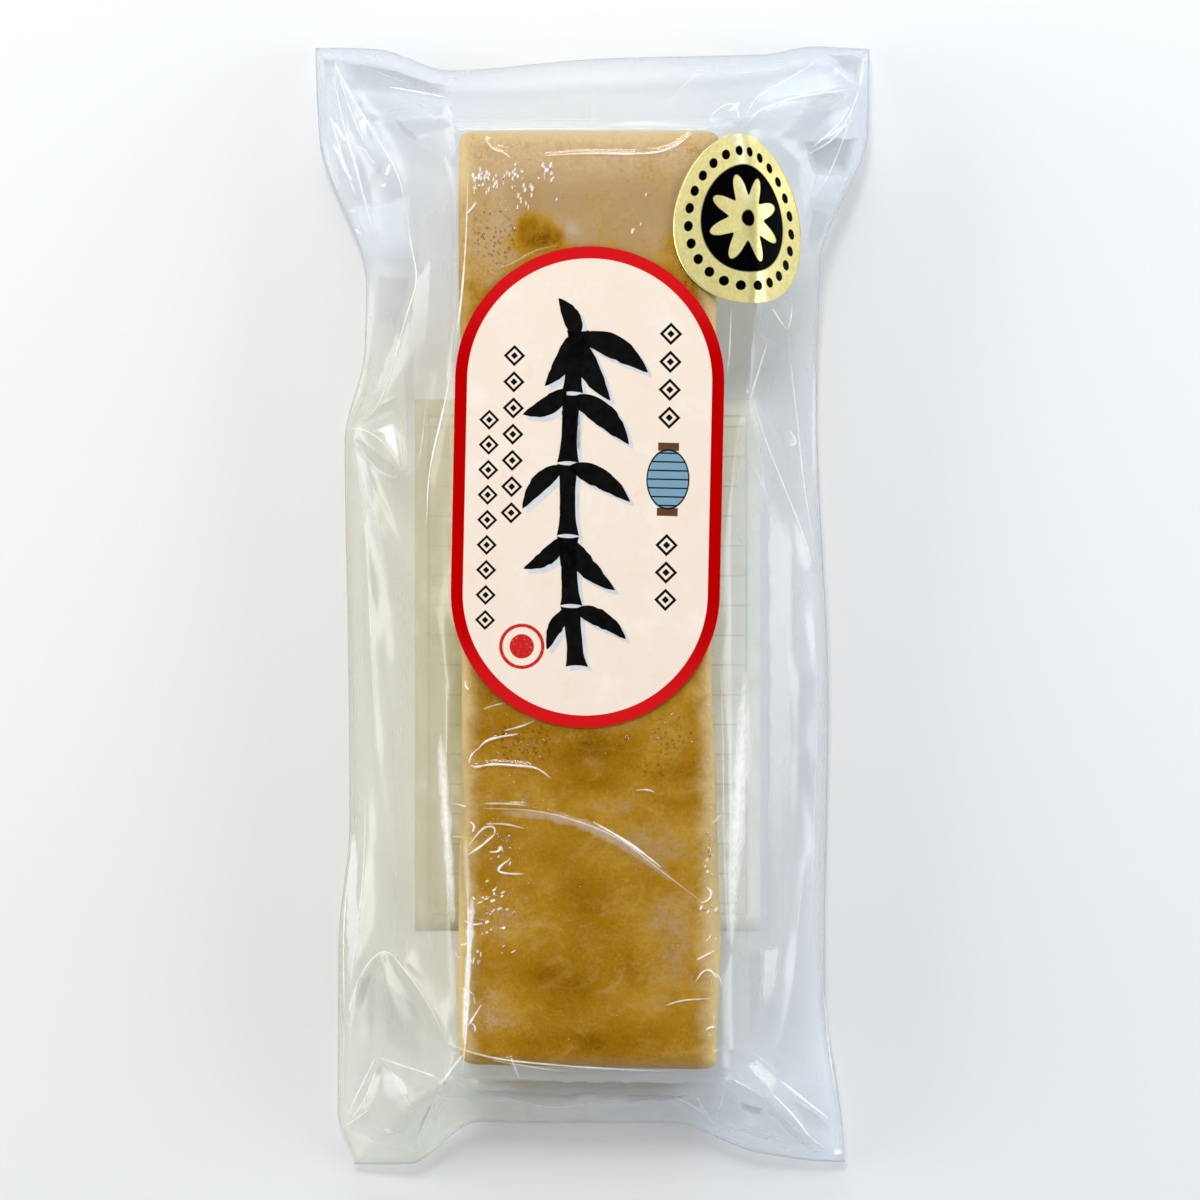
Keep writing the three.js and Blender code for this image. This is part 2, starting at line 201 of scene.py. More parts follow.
CORNER_FOLDS = [
    (1.2, 3, 3.5, 0.2, 0.8, -46.3, 97.6, -42.8, 90.6, -37.9, 82.5, -34.2, 76.5, -33, 71),
    (1.0, 2.5, 3, 0.2, 0.8, -46.3, 95.2, -44.3, 85.2, -41.9, 77.6, -40.7, 72.7, -39, 66),
    (0.8, 2, 2, 0.2, 0.8, -47, 88, -44.4, 79.1, -42.2, 73),
    (0.7, 2, 2, 0.2, 0.6, -45.5, 96, -43.8, 90.3, -41, 83, -38.6, 80),
    (1.3, 5, 6, 0.4, 0.3, -44.3, 97.4, -37.7, 94.2, -30.4, 91, -24.7, 89.4),
    (0.6, 1.6, 2.5, 0.2, 0.9, -35.6, 91, -31, 90, -25.1, 89.3),
    (0.7, 3, 3, 0.3, 0.2, -33.7, 84, -28.2, 79.3, -24.1, 75.5),
    (0.7, 3, 3, 0.3, 0.3, -34.6, 84.9, -28.9, 84.7, -25.7, 86.5),
    (-0.9, 4, 4, 0.5, 0.1, -42, 88, -36, 86, -29, 86.5),
    (1.7, 5, 3, 0.2, 0.9, 47.6, 92.3, 36.4, 89, 29, 85.9, 25.4, 81.4),
    (1.1, 3, 3, 0.4, 0.6, 40.6, 97.3, 34.9, 92.9, 28.5, 89.1, 25.4, 81.8),
    (0.8, 3, 3, 0.3, 0.5, 40.6, 97.3, 43.6, 94.9, 47.6, 92.3),
    (0.6, 2, 2, 0.2, 0.8, 48.7, 98.3, 48.2, 94.8, 47.6, 92.3),
    (1.1, 3, 2, 0.2, 0.9, 47.6, 92.3, 46, 87.6, 43, 82.7, 37.4, 78.8),
    (0.7, 2, 2, 0.2, 0.6, 46, 88.9, 42.4, 84, 38, 79.9),
    (0.7, 5, 3, 0.2, 0.5, 47.6, 92.3, 46, 86.8, 42.8, 78.2, 39.2, 71.5, 38.1, 62),
    (0.7, 2, 2, 0.3, 0.7, 20, 84.2, 22.9, 87, 24.9, 87.4, 25.4, 83),
    (0.8, 4, 3, 0.3, 0.4, 36.9, 80, 34.8, 74.3, 33.5, 69),
    (1.0, 5, 6, 0.8, 0.1, 8.5, 97.1, 15.3, 93, 21, 86),
    (0.8, 5, 5, 0.9, 0.0, -22, 97, -12.8, 92.3, 1.4, 91, 10, 91.5),
    (1.4, 3, 3, 0.6, 0.6, 23.4, -80.6, 29.2, -84.5, 34.9, -90.7, 40.6, -98.6),
    (1.1, 2.5, 2.5, 0.2, 0.9, 32.7, -83, 36.8, -86.7, 42.5, -91.9),
    (1.1, 2.5, 2.5, 0.2, 0.9, 31.1, -84.6, 35.8, -89.9, 38.4, -94.1, 42, -97.2),
    (0.9, 3, 3, 0.2, 0.5, 23.4, -80.5, 22.7, -86.6, 21.6, -92.2),
    (0.7, 2, 2, 0.2, 0.8, 18, -85, 19.8, -89.1, 21.6, -92.2),
    (0.7, 2, 2, 0.2, 0.9, 14.2, -85.6, 17.2, -87.6, 20.4, -90.1),
    (0.9, 2.5, 3, 0.3, 0.7, 21.6, -91.8, 29.7, -92.3, 38, -96.2),
    (0.9, 3, 3, 0.5, 0.3, 26, -76.6, 29.4, -78.7, 32.7, -82, 31.5, -83.9, 27.4, -80.6),
    (1.0, 3, 4, 0.3, 0.5, -38.1, -79.8, -32, -80.9, -25.8, -81.3),
    (1.0, 3, 3, 0.3, 0.5, -38.1, -79.3, -41.2, -85.6, -44.4, -92),
    (0.7, 2, 2, 0.3, 0.4, -37.7, -80.3, -40, -87.1, -43.5, -92.3),
    (0.8, 4, 4, 0.3, 0.4, -37.1, -79.8, -33.8, -84.1, -30.5, -89),
    (0.8, 2, 2, 0.2, 0.9, -21.8, -76.6, -24, -79.3, -25.6, -81.6),
    (1.1, 4, 3, 0.2, 0.6, -25.4, -81, -28.5, -88.6, -31.9, -97.2),
    (0.7, 2, 2, 0.2, 0.9, -45.2, -94, -42.3, -91.6, -39.6, -89.3),
    (0.9, 3, 3, 0.4, 0.5, -25.2, -81.2, -19.5, -84.3, -11, -87.9, -4.8, -88.6, 4.9, -86.2, 18.8, -84.5),
]

# The same for the finer wrinkles of the film over the bar
TOP_WRINKLES = [
    (0.5, 1.8, 2.4, 0.2, 0.9, -21.3, 75, -21.7, 60.4, -23.2, 45.8, -25.8, 33.1, -28.4, 23.7, -28.8, 14),
    (0.26, 0.9, 0.9, 0.12, 0.8, -9, 77.4, 0, 77.9, 9, 77.6, 14, 78.6, 17.4, 81.6),
    (0.6, 2.2, 1.3, 0.15, 0.5, -19.2, -34.7, -9, -34.9, 0, -37.6, 5.5, -40.3, 11.6, -45.2, 19, -50.9),
    (0.18, 0.7, 0.7, 0.1, 0.9, 0, -36.9, 4, -39.1, 8, -41.7, 12, -44.9),
    (0.2, 0.7, 0.7, 0.1, 0.2, -18.8, -35.3, -10, -35.6, -2.6, -37.9, 4, -41),
    (0.2, 0.7, 0.7, 0.1, 0.45, -19, -33.9, -15, -33.8, -11, -34.2),
    (0.2, 0.8, 0.8, 0.12, 0.5, -18.6, -37.4, -15, -37.3, -11.5, -38.2),
    (0.32, 1.1, 1.0, 0.12, 0.8, -19.9, -24.9, -18.4, -23.1, -16, -22.4, -12.6, -21.9),
    (0.22, 0.9, 0.9, 0.12, 0.6, -15.4, -21.4, -12, -20.6, -9.4, -19.4),
    (0.25, 1.2, 1.2, 0.12, 0.5, -18.8, -17.7, -16.4, -16.8, -12.4, -16.2),
    (0.45, 1.3, 1.3, 0.12, 0.9, -21.2, -27.2, -20, -27.7, -17.4, -27, -13, -27.3, -9.4, -27.6, -7, -29.6),
    (0.26, 0.9, 0.9, 0.12, 0.8, -21.2, -27.2, -20.9, -25.6, -19.6, -24.4),
    (0.34, 1.0, 1.0, 0.12, 0.9, -21.7, -42.9, -19.4, -41.5, -17.7, -40, -16.8, -39.2),
    (0.3, 0.8, 0.8, 0.12, 0.8, -16.8, -39.3, -16.6, -38, -18, -37.7, -19.3, -38.6, -21.3, -41.2),
    (0.28, 0.8, 0.8, 0.12, 0.9, -17.8, -42.2, -16, -42.2, -15.7, -41.1, -15.3, -42.3),
    (0.32, 0.9, 0.9, 0.12, 0.9, -14.2, -43.6, -15.3, -44.2, -16.4, -45.4, -15, -45.9, -11.4, -46),
    (0.25, 1.1, 1.1, 0.2, 0.3, -14, -39.8, -12.4, -39.6, -11, -40),
    (0.36, 1.1, 1.1, 0.12, 0.9, -21.4, -72.2, -20.4, -70.6, -19, -68.4),
    (0.5, 1.4, 1.2, 0.35, 0.9, -21.4, -47, -21.2, -56, -21.3, -66, -21.6, -73, -22.2, -79.4),
    (0.3, 1.0, 1.0, 0.12, 0.6, 12.6, -68.6, 15.3, -67.6, 20.4, -67.4),
    (0.3, 0.9, 0.9, 0.12, 0.8, 17.7, -64.6, 19, -62.6, 20.4, -62.4, 21.5, -64),
    (0.26, 0.9, 0.9, 0.12, 0.7, 17.9, -60.8, 19.4, -60, 21.2, -59.1),
    (0.3, 1.0, 1.0, 0.12, 0.8, 18.6, -51, 20.2, -50.4, 20.6, -49, 19.6, -48.2),
    (0.34, 1.2, 1.2, 0.12, 0.6, -15.8, 58.2, -13, 59.2, -10, 61.2, -5.6, 62.1),
    (0.28, 0.9, 0.9, 0.12, 0.7, -18.2, 47.4, -17.8, 49.6, -16.2, 51, -14.4, 51.6),
    (0.24, 0.9, 0.9, 0.12, 0.6, -12.8, 57.5, -11.6, 57.9, -10.4, 57.8),
    (0.24, 0.9, 0.9, 0.12, 0.6, -12.9, 56.2, -11.6, 56.5, -10.6, 56.9),
    (0.34, 1.2, 1.0, 0.15, 0.6, -18.4, 80.3, -17, 78.4, -15.2, 78.1, -13.8, 76.8),
    (0.22, 1.0, 1.0, 0.15, 0.5, 7.4, -31.6, 9.4, -31.4, 10.8, -31.9),
    (0.35, 1.2, 1.0, 0.2, 0.6, -24.5, -75.3, -19.1, -77.2, -12.1, -78.3, 2.5, -79.4, 13.3, -79.9),
    (0.25, 0.8, 0.8, 0.12, 0.5, -17.4, -77.9, -11, -79, -5, -79.9),
    (0.34, 1.0, 1.0, 0.12, 0.5, -13.9, -77.4, -13.2, -79.4, -12.4, -81.6),
]

# Where the film clings wet to the bar and where there is air between them: X, Y, half widths
# across and along, and how much wetter the place is
WET_PLACES = [
    (0, 73, 27, 14, -0.95), (-9.2, 62.8, 3.8, 1.7, 1.0), (-12, 65.4, 1.0, 1.8, 0.9),
    (-10, 65.8, 1.3, 1.8, 0.85), (-7.5, 65, 1.1, 1.9, 0.9), (-5.7, 64, 0.9, 1.6, 0.8),
    (-17.5, 60, 4, 7, -0.35), (0, -23, 13, 2.6, 0.3), (15, -62, 6, 10, -0.25), (17, 53, 5, 6, 0.5),
    (-19, -16, 4, 8, 0.3), (-1, -26, 9, 3.5, 0.45), (-2, -30.5, 7, 1.5, 0.3),
    (15, -28.5, 4, 1.5, 0.35), (14, -34, 6, 1.2, 0.3), (12, -22, 7, 3.5, -0.3),
    (-12, -33, 6, 1.6, -0.25), (4, -34.5, 7, 1.5, -0.3), (11, -41, 7, 4, -0.4), (-7, -42.5, 3, 2.5, 0.3),
    (-1, -51, 5, 7, 0.35), (13, -55, 7, 5, -0.35), (6.5, -61, 1.6, 3.5, 0.3), (-1.5, -65, 6, 4, 0.4),
    (10, -68, 7, 4, -0.35), (-16, -53, 4, 4, -0.4), (-8, -64, 4, 2.5, 0.25), (-16, -70, 4, 4, -0.4),
    (0, -75, 14, 2.4, 0.4), (-19, -44, 3, 5, -0.15),
]

# Where the bar's skin is pitted, in the same way
PITTED_PLACES = [
    (-11.5, -23.5, 7, 4.5, 1), (14, -22, 6, 4, 0.8), (13, -28, 6, 2, 0.8), (-17, 64, 5, 7, 1),
    (17, 58, 3, 6, 0.9), (-14, -53, 4, 4, 0.5), (3, -33, 6, 2, 0.4), (-7, 63, 4, 3, 0.7),
]

# Painted highlights and painted shade on the film, and one whitish bubble under it over the bar:
# places where it is whiter or clearer than round about, in the same way
HAZE_AND_PAINTED_LIGHT_PLACES = [
    (-37, 62, 5, 8, 0.13), (-40, 93, 4, 4, -0.13), (-30, 91, 5, 3, -0.1), (-36, 80, 3, 4, 0.12),
    (-35.4, 28.8, 1.8, 3.4, 0.35), (-37, 47, 3, 6, -0.08), (-25.4, -40, 1.0, 13, 0.1),
    (25.9, -33, 1.4, 13, 0.1), (33, -40, 1.2, 20, 0.1), (38, -30, 1.4, 22, -0.07),
    (40, 74, 3, 6, -0.11), (33, 91, 5, 2.5, 0.14), (44, 96, 4, 3, 0.1), (36, 84, 5, 2.5, -0.1),
    (0, 92, 18, 2.5, 0.03), (-38, -88, 5, 4, -0.07), (-30, -93, 4, 3, 0.1), (36, -84, 5, 3, 0.08),
    (30, -93, 5, 3, -0.08), (0, -90, 15, 3, 0.06), (-25.5, -58, 2, 8, -0.08),
    (-3.4, 64.9, 1.3, 1.4, 0.24),
]

# Painted light and shade on flat faces of the film between its folds: white faces are painted
# highlights, blue faces painted reflections, grey faces painted shade and warm faces the painted
# shadow beyond the bar's end. For each: how strong along the side between the first two corners,
# the share left at the other side, and the four corners.
HIGHLIGHT_FACES = [
    (0.9, 0.6, -46.9, 86.9, -45.8, 86.6, -43.3, 82.3, -43.9, 82.3),
    (0.9, 0.6, -42.5, 83.2, -41.6, 82.4, -37.5, 77.8, -38.4, 77.8),
    (0.9, 0.6, -46.8, 83.2, -46.1, 83.2, -42.1, 74.6, -42.5, 74.5),
    (0.35, 0.3, -25.8, 89.2, -24, 85.7, -23.5, 78.1, -26.3, 80.6),
    (0.5, 0.1, 26.7, 85.6, 46.9, 91.4, 43.3, 87.8, 30.6, 83),
    (0.4, 0.3, 37.1, 81, 39.4, 75.2, 37.5, 65.5, 35.1, 75.2),
    (0.8, 0.3, 38.8, 81, 45.9, 86.8, 46.4, 86.1, 39.9, 81.3),
    (0.4, 0.3, -37.9, -80.6, -31.7, -83.7, -31.7, -89.5, -37.2, -87.1),
    (0.95, 0.9, -37.2, -92.6, -36.1, -92.2, -35, -93.4, -36.5, -93.4),
    (0.95, 0.9, -34.7, -92.8, -34.1, -92.5, -34.1, -93.5, -34.7, -93.4),
    (0.35, 0.3, -44.4, -93.3, -32.4, -96.9, -32.7, -97.9, -42, -98.1),
    (0.4, 0.3, -27.5, -86.8, -26.1, -87.1, -28.1, -94.3, -29.6, -96.4),
    (0.45, 0.3, -43.7, -71.3, -41.5, -65.5, -42.8, -74.8, -44, -80.6),
    (0.5, 0.6, -44.8, -42, -42.2, -40, -41.4, -66, -43.8, -73),
    (0.45, 0.8, 26.7, -79.6, 28.7, -79, 33.6, -83.9, 31.8, -85.3),
    (0.95, 0.9, 43.2, -97.9, 45, -97.7, 45, -98.8, 43.4, -98.5),
    (0.4, 0.4, 29.8, -59.9, 33.3, -59.9, 32.1, -69.9, 29.8, -72.7),
    (0.35, 0.4, 42.1, -71.9, 43.2, -78.2, 44.4, -89.9, 43.7, -89.9),
    (1.0, 0.5, -38.1, 31.7, -35, 32.3, -33.5, 23.9, -36, 28.5),
    (0.35, 0.3, -43, 30.1, -40.2, 26.9, -34.7, 0.6, -37.9, -0.7),
    (0.4, 0.3, -31.2, 57.1, -27.7, 61.6, -29, 43, -32.8, 40.4),
    (0.3, 0.3, -34.7, 49.4, -33.1, 46.8, -37.9, 36.5, -40.5, 34.6),
    (0.4, 0.5, 30.7, 22, 35.8, 16, 35.8, -44.2, 30.7, -55.5),
]
REFLECTION_FACES = [
    (0.95, 0.9, -42, 86.4, -39.8, 86.4, -40, 83.2, -40.6, 83.4),
    (0.45, 0.3, -44.6, 72, -31, 72.6, -30.5, 60, -42.6, 62),
    (0.4, 0.4, -39.8, 85.9, -36.1, 84.2, -34.3, 78.1, -38.3, 78.1),
    (0.95, 0.9, -36.3, 78.4, -35.6, 78.1, -36, 75.9, -36.9, 76.1),
    (0.95, 0.9, -37.4, 75.1, -36.5, 75, -36.8, 74, -37.3, 74.3),
    (0.9, 0.5, -43.9, 68, -42.4, 67.9, -40.9, 66.4, -41.7, 66.5),
    (0.8, 0.5, -44.1, 71.4, -41.7, 70.9, -42.4, 70.2, -44.1, 70.8),
    (0.3, 0.5, 38.2, 76.2, 46.4, 77.2, 43.8, 70.4, 37.6, 71),
    (0.5, 0.2, 26.7, 86, 46.9, 92.1, 40.9, 98.1, 29.6, 91.3),
    (0.7, 0.6, 24.4, 86.8, 26.1, 87.7, 25.8, 85.4, 22.7, 85.4),
    (0.35, 0.8, -28.3, -84.4, -14.5, -86.8, -14.9, -88, -28.6, -86.2),
    (0.9, 0.8, 30.1, -87.6, 31.3, -87.4, 39.9, -97, 38.1, -96.8),
    (0.75, 0.7, 24.4, -92.8, 27.5, -92.7, 33.8, -95, 31.5, -95.2),
    (0.75, 0.8, 18.2, -87.6, 19.6, -87.5, 21.9, -92.2, 21.1, -91.9),
    (0.25, 0.3, 23.2, -85.6, 30.7, -88.2, 36.4, -95.3, 22.4, -92.2),
]
SHADE_FACES = [
    (0.4, 0.6, -45.6, 97.8, -24.5, 92.2, -25.4, 88, -43, 90.6),
    (0.22, 0.6, -35.1, 86.2, -29.8, 81.1, -31, 80.6, -33.8, 83.2),
    (0.25, 0.5, -48.6, 98.5, -45.6, 97.5, -46.4, 93.7, -47.6, 93.2),
    (0.16, 0.4, -39.8, 76.1, -37.3, 78.6, -38.3, 73.6, -40.3, 73.1),
    (0.34, 0.7, 41.6, 99, 49, 99, 47.8, 93.3, 44.3, 95.4),
    (0.58, 0.5, 36.2, 81.3, 48, 84.3, 45.6, 76.6, 39, 76),
    (0.22, 0.5, 38.5, 70.3, 42.3, 69.7, 39.9, 62.1, 37.5, 62.8),
    (0.2, 0.5, 38.5, 90.2, 46, 90.9, 38.5, 82, 34, 82.7),
    (0.35, 0.5, -28.3, -86.8, -27.4, -86.8, -31.3, -94.3, -32, -95.7),
    (0.16, 0.4, -41.5, -65.5, -38.5, -64.8, -38.9, -79.9, -42.7, -73.7),
    (0.3, 0.5, -22.8, -83.8, -9.1, -84.7, -10.1, -87.5, -19.3, -85.4),
    (0.25, 0.5, -12.5, -85.4, 3.3, -84.7, -6, -87.9, -10.1, -87.9),
    (0.18, 0.5, -37.2, -65.5, -29.6, -70.3, -29.6, -82.7, -37.2, -79.9),
    (0.4, 0.6, 25.5, -86.4, 29.8, -87.6, 29.9, -89.4, 26.1, -88.5),
    (0.22, 0.5, 33.8, -85.9, 41.8, -91.9, 43.2, -94.4, 39, -93.6),
    (0.3, 0.5, 4.9, -85, 19.2, -85.3, 13.5, -87, 4.9, -87.4),
    (0.2, 0.5, 27, -59.9, 29.6, -59.9, 29.6, -71.9, 27.2, -75.9),
    (0.2, 0.4, -43.4, 31.4, -33.6, 23.6, -34.2, 21.6, -39.9, 24.3),
    (0.2, 0.4, -38.9, 59.7, -31.5, 58.3, -34, 46.8, -39.9, 50),
    (0.16, 0.4, -33.1, 40.4, -31.2, 46.8, -30.6, 24.3, -32.8, 23.7),
    (0.14, 0.5, 36.3, -10.5, 40.3, -10.5, 40.3, -36.3, 36.3, -44.2),
]
SHADOW_FACES = [
    (0.4, 0.3, -21.5, -81.6, 20, -82.2, 15, -87, -13, -86.6),
]

# Clusters of short broken glints on the film: X, Y, spread, number, direction in degrees
GLINTS = [
    (-19.6, 73.3, 0.7, 16, 88), (-18.9, 74.2, 0.5, 12, 88), (-16.8, 73, 0.7, 12, 88),
    (-13.4, 74.2, 0.6, 14, 88), (-7.4, 74.8, 0.8, 12, 70), (-11, 70.8, 2.0, 20, 80),
    (-16.9, -50, 1.3, 14, 25), (-16.6, -53.8, 1.4, 7, 25),
    (-16.2, -57.6, 1.6, 6, 25), (-14.9, -43.6, 1.1, 4, 60), (18.9, -45, 0.8, 3, 60),
    (19.8, -52, 0.9, 3, 60), (20.2, -57, 0.9, 3, 60), (9, 66, 1.8, 4, 80), (-19.3, -60, 1.0, 5, 80),
]

# Long soft streaks of light: width, how bright, and the line as X, Y and so on
STREAKS = [
    (1.9, 0.6, -26.2, -22, -25.1, -37, -23.9, -55), (1.0, 0.5, -25.6, -30, -24.8, -40, -24.1, -50),
    (3.2, 0.55, 26.6, -11, 25.7, -29, 24.4, -43, 23.8, -58), (1.4, 0.5, 26, -20, 25.2, -32, 24.5, -42),
    (1.6, 0.95, -20.6, -50, -21.4, -64, -22, -75), (0.7, 0.7, -20.9, -56, -21.4, -64, -21.7, -70),
    (2.2, 0.25, -16, -35.4, -5, -36.2, 1, -38.4, 7, -41.8, 14, -47.2), (1.2, 0.3, -21.8, -40, -21.2, -50),
]

# The bar's own sides, as (Y, X)
LEFT_SIDE = [(-80, -23), (-60, -23.3), (-30, -22.5), (-10, -22.4), (40, -22.7), (70, -23.3), (81, -23.1)]
RIGHT_SIDE = [(-80, 21.5), (-64, 22.1), (-46, 21.8), (-28, 21.4), (-12, 20.8), (40, 21.2), (81, 21.8)]
BAR_EDGE = 2.4
BAR_END_EDGE = 3.0
BAR_CORNER = 2.0
BAR_SKEW = 0.5

# Ink on the long label: a bamboo stem and its leaves, from the label's middle. A leaf is
# (X, Y, direction in degrees, length, width, bend).
STEM = [-31, -20.5, -8.5, 4, 16, 27]
LEAVES = [
    (-1.5, 26, -28, 13, 4.0, 1.0), (-2, 25.5, -62, 12, 3.6, -0.8), (-3, 26, -118, 10, 3.2, 0.8),
    (-2.3, 25.6, 116, 7.5, 3.0, -0.6), (-4, 16.5, -150, 8.5, 3.2, 0.8), (-2.6, 15.5, -40, 12.5, 4.0, 0.9),
    (-3.4, 15, -82, 8, 2.4, -0.5), (-4.4, 3.5, -132, 10, 3.0, -0.8), (-3, 3.6, -30, 12, 3.4, 0.8),
    (-4, -9, -142, 8.5, 2.8, 0.8), (-3.2, -9, -46, 12, 3.4, -0.9), (-4, -9.5, -84, 8, 2.5, 0.5),
    (-1.5, -21, -30, 10, 3.0, 0.8), (-2.6, -21, -118, 8, 2.6, -0.6),
]

RANDOM = np.random.default_rng(11)


def along(stations, at):
    """A smooth curve through stations that never swings past them: a cubic in each stretch, whose
    slope at a station is the harmonic mean of the two secants, or 0 where they differ in sign."""
    x, y = np.array(stations, float).T
    step, rise = np.diff(x), np.diff(y)
    secant = rise / step
    product = secant[:-1] * secant[1:]
    total = np.where(product > 0, secant[:-1] + secant[1:], 1)
    slope = np.concatenate([[0], np.where(product > 0, 2 * product / total, 0), [0]])
    at = np.clip(at, x[0], x[-1])
    k = np.clip(np.searchsorted(x, at) - 1, 0, len(step) - 1)
    t = (at - x[k]) / step[k]
    bend_in = (slope[k] * step[k] - rise[k]) * t * (1 - t) ** 2
    bend_out = (rise[k] - slope[k + 1] * step[k]) * t**2 * (1 - t)
    return y[k] + rise[k] * t + bend_in + bend_out


def smooth(value, low, high):
    """0 below low, 1 above high, and 3 t^2 - 2 t^3 between them."""
    t = np.clip((value - low) / (high - low), 0, 1)
    return t * t * (3 - 2 * t)


def soft_noise(x, y, wide, long, seed):
    """Smooth random height from -1 to 1: random values on a lattice of that width and length,
    blended with 3 t^2 - 2 t^3 both ways."""
    count = 128
    lattice = np.random.default_rng(seed).uniform(-1, 1, (count, count))
    u, v = x / wide + count / 2, y / long + count / 2
    i, j = np.floor(u).astype(int), np.floor(v).astype(int)
    a, b = smooth(u - i, 0, 1), smooth(v - j, 0, 1)

    def at(p, q):
        return lattice[(j + q) % count, (i + p) % count]

    low = at(0, 0) * (1 - a) + at(1, 0) * a
    high = at(0, 1) * (1 - a) + at(1, 1) * a
    return low * (1 - b) + high * b


def places(x, y, spots):
    """The sum of soft spots: each is a bell across and along, times its own weight."""
    total = np.zeros(np.shape(x))
    for at_x, at_y, wide, long, weight in spots:
        total += weight * np.exp(-(((x - at_x) / wide) ** 2) - ((y - at_y) / long) ** 2)
    return total


def pouch_place(x, y):
    """Where a nominal point of the pouch really lies: beyond the bar it moves with the nearest
    edge, by a share that grows evenly from 0 near the bar to 1 at the rim."""
    side = np.where(x < 0, along(LEFT_EDGE, y / NOMINAL_Y), along(RIGHT_EDGE, y / NOMINAL_Y))
    end = np.where(y < 0, along(BOTTOM_EDGE, x / NOMINAL_X), along(TOP_EDGE, x / NOMINAL_X))
    start_x, start_y = BAR_WIDTH / 2 + 1.5, BAR_LENGTH / 2 + 2.5
    pull_x = np.clip((np.abs(x) - start_x) / (NOMINAL_X - start_x), 0, 1)
    pull_y = np.clip((np.abs(y) - start_y) / (NOMINAL_Y - start_y), 0, 1)
    return (x + np.sign(x) * (side - NOMINAL_X) * pull_x,
            y + np.sign(y) * (end - NOMINAL_Y) * pull_y)


def nominal_place(x, y):
    """The nominal point whose real place is (x, y), by correcting a guess eight times."""
    nominal_x, nominal_y = x, y
    for _ in range(8):
        real_x, real_y = pouch_place(nominal_x, nominal_y)
        nominal_x, nominal_y = nominal_x + x - real_x, nominal_y + y - real_y
    return nominal_x, nominal_y


def beside_seal(x, y):
    """1 beside the gold seal on the right, falling as a bell along Y."""
    return np.where(x > 0, np.exp(-(((y - SEAL_Y) / 17) ** 2)), 0)


def rim_height(x, y):
    """Height of the pouch's rim: a base, a lift in the middle of the ends, a wave along the sides
    and a lift beside the gold seal."""
    u = np.clip(x / NOMINAL_X, -1, 1)
    v = np.clip(y / NOMINAL_Y, -1, 1)
    ends = RIM_END_LIFT * (1 - u * u) * smooth(np.abs(v), 0.6, 1)
    sides = RIM_WAVE * np.sin(7 * v + 1.5 * np.sign(x)) * (1 - v * v)
    return RIM_CORNER + ends + sides + RIM_SEAL_LIFT * beside_seal(x, y)


def outwards(x, y):
    """0 on the level film, 1 at the rim: the larger of the shares across and along, with the
    corner between them rounded."""
    shelf = along(SHELF, y)
    right = (x - shelf) / (NOMINAL_X - shelf)
    left = (BAR_X - BAR_WIDTH / 2 - x) / (NOMINAL_X + BAR_X - BAR_WIDTH / 2)
    top = (y - BAR_Y - BAR_LENGTH / 2) / (NOMINAL_Y - BAR_Y - BAR_LENGTH / 2)
    bottom = (BAR_Y - BAR_LENGTH / 2 - y) / (NOMINAL_Y + BAR_Y - BAR_LENGTH / 2)
    across = np.clip(np.maximum(left, right), 0, 1)
    lengthways = np.clip(np.maximum(top, bottom), 0, 1)
    blend = 0.16 * (across + lengthways) * (1 - np.maximum(across, lengthways)) + 1e-6
    share = np.clip(0.5 + 0.5 * (across - lengthways) / blend, 0, 1)
    mixed = lengthways + (across - lengthways) * share + blend * share * (1 - share)
    return np.minimum(1, mixed)


def folds_height(x, y, fans, alternate=1):
    """The folds of all the fans: each is a ridge from the pinch, with a triangle for its section,
    wider further out, whose height follows half a sine wave. alternate is -1 where every other
    one is a valley."""
    height = np.zeros_like(x)
    for at, aim, spread, folds, reach, rise, width in fans:
        for k in range(folds):
            angle = math.radians(aim + spread * ((k + 0.5) / folds - 0.5))
            length = reach * (1 - 0.3 * (k % 2))
            dx, dy = x - at[0], y - at[1]
            t = np.clip((dx * math.cos(angle) + dy * math.sin(angle)) / length, 0, 1)
            aside = np.abs(dy * math.cos(angle) - dx * math.sin(angle))
            section = np.clip(1 - aside / (width * (0.3 + t)), 0, 1)
            height += rise * alternate**k * np.sin(np.pi * t**0.7) * section
    return height


def underside_height(x, y):
    """The film's underside: flat under the bar, then rising as a square to the rim."""
    across = np.clip((np.abs(x) - FLAT_HALF_WIDTH) / (NOMINAL_X - FLAT_HALF_WIDTH), 0, 1)
    lengthways = np.clip((np.abs(y) - FLAT_HALF_LENGTH) / (NOMINAL_Y - FLAT_HALF_LENGTH), 0, 1)
    share = np.maximum(across, lengthways) ** 2
    return FILM_UNDER * (1 - share) + rim_height(x, y) * share


def tent_height(x, y):
    """The film's upper side without its finer folds: a low crown over the bar, and slopes that
    sag between the bar and the rim, joined by a smooth minimum."""
    m = outwards(x, y)
    rim = rim_height(x, y)
    sag = SLOPE_SAG - SEAL_BULGE * beside_seal(x, y)
    slope = rim + (BAR_HEIGHT + EDGE_ROUNDING - rim) * (1 - m * (1 + sag * (1 - m)))
    crown = BAR_HEIGHT + FILM_CROWN * (1 - np.clip(2 * (x - BAR_X) / BAR_WIDTH, -1, 1) ** 2)
    share = np.clip(0.5 + 0.5 * (crown - slope) / (2 * EDGE_ROUNDING), 0, 1)
    tent = crown + (slope - crown) * share - 2 * EDGE_ROUNDING * share * (1 - share)
    folds = folds_height(x, y, MAIN_FANS) * smooth(m, 0, 0.15) * smooth(1 - m, 0, 0.2)
    return np.maximum(tent + folds, underside_height(x, y) + 6 * (1 - m))


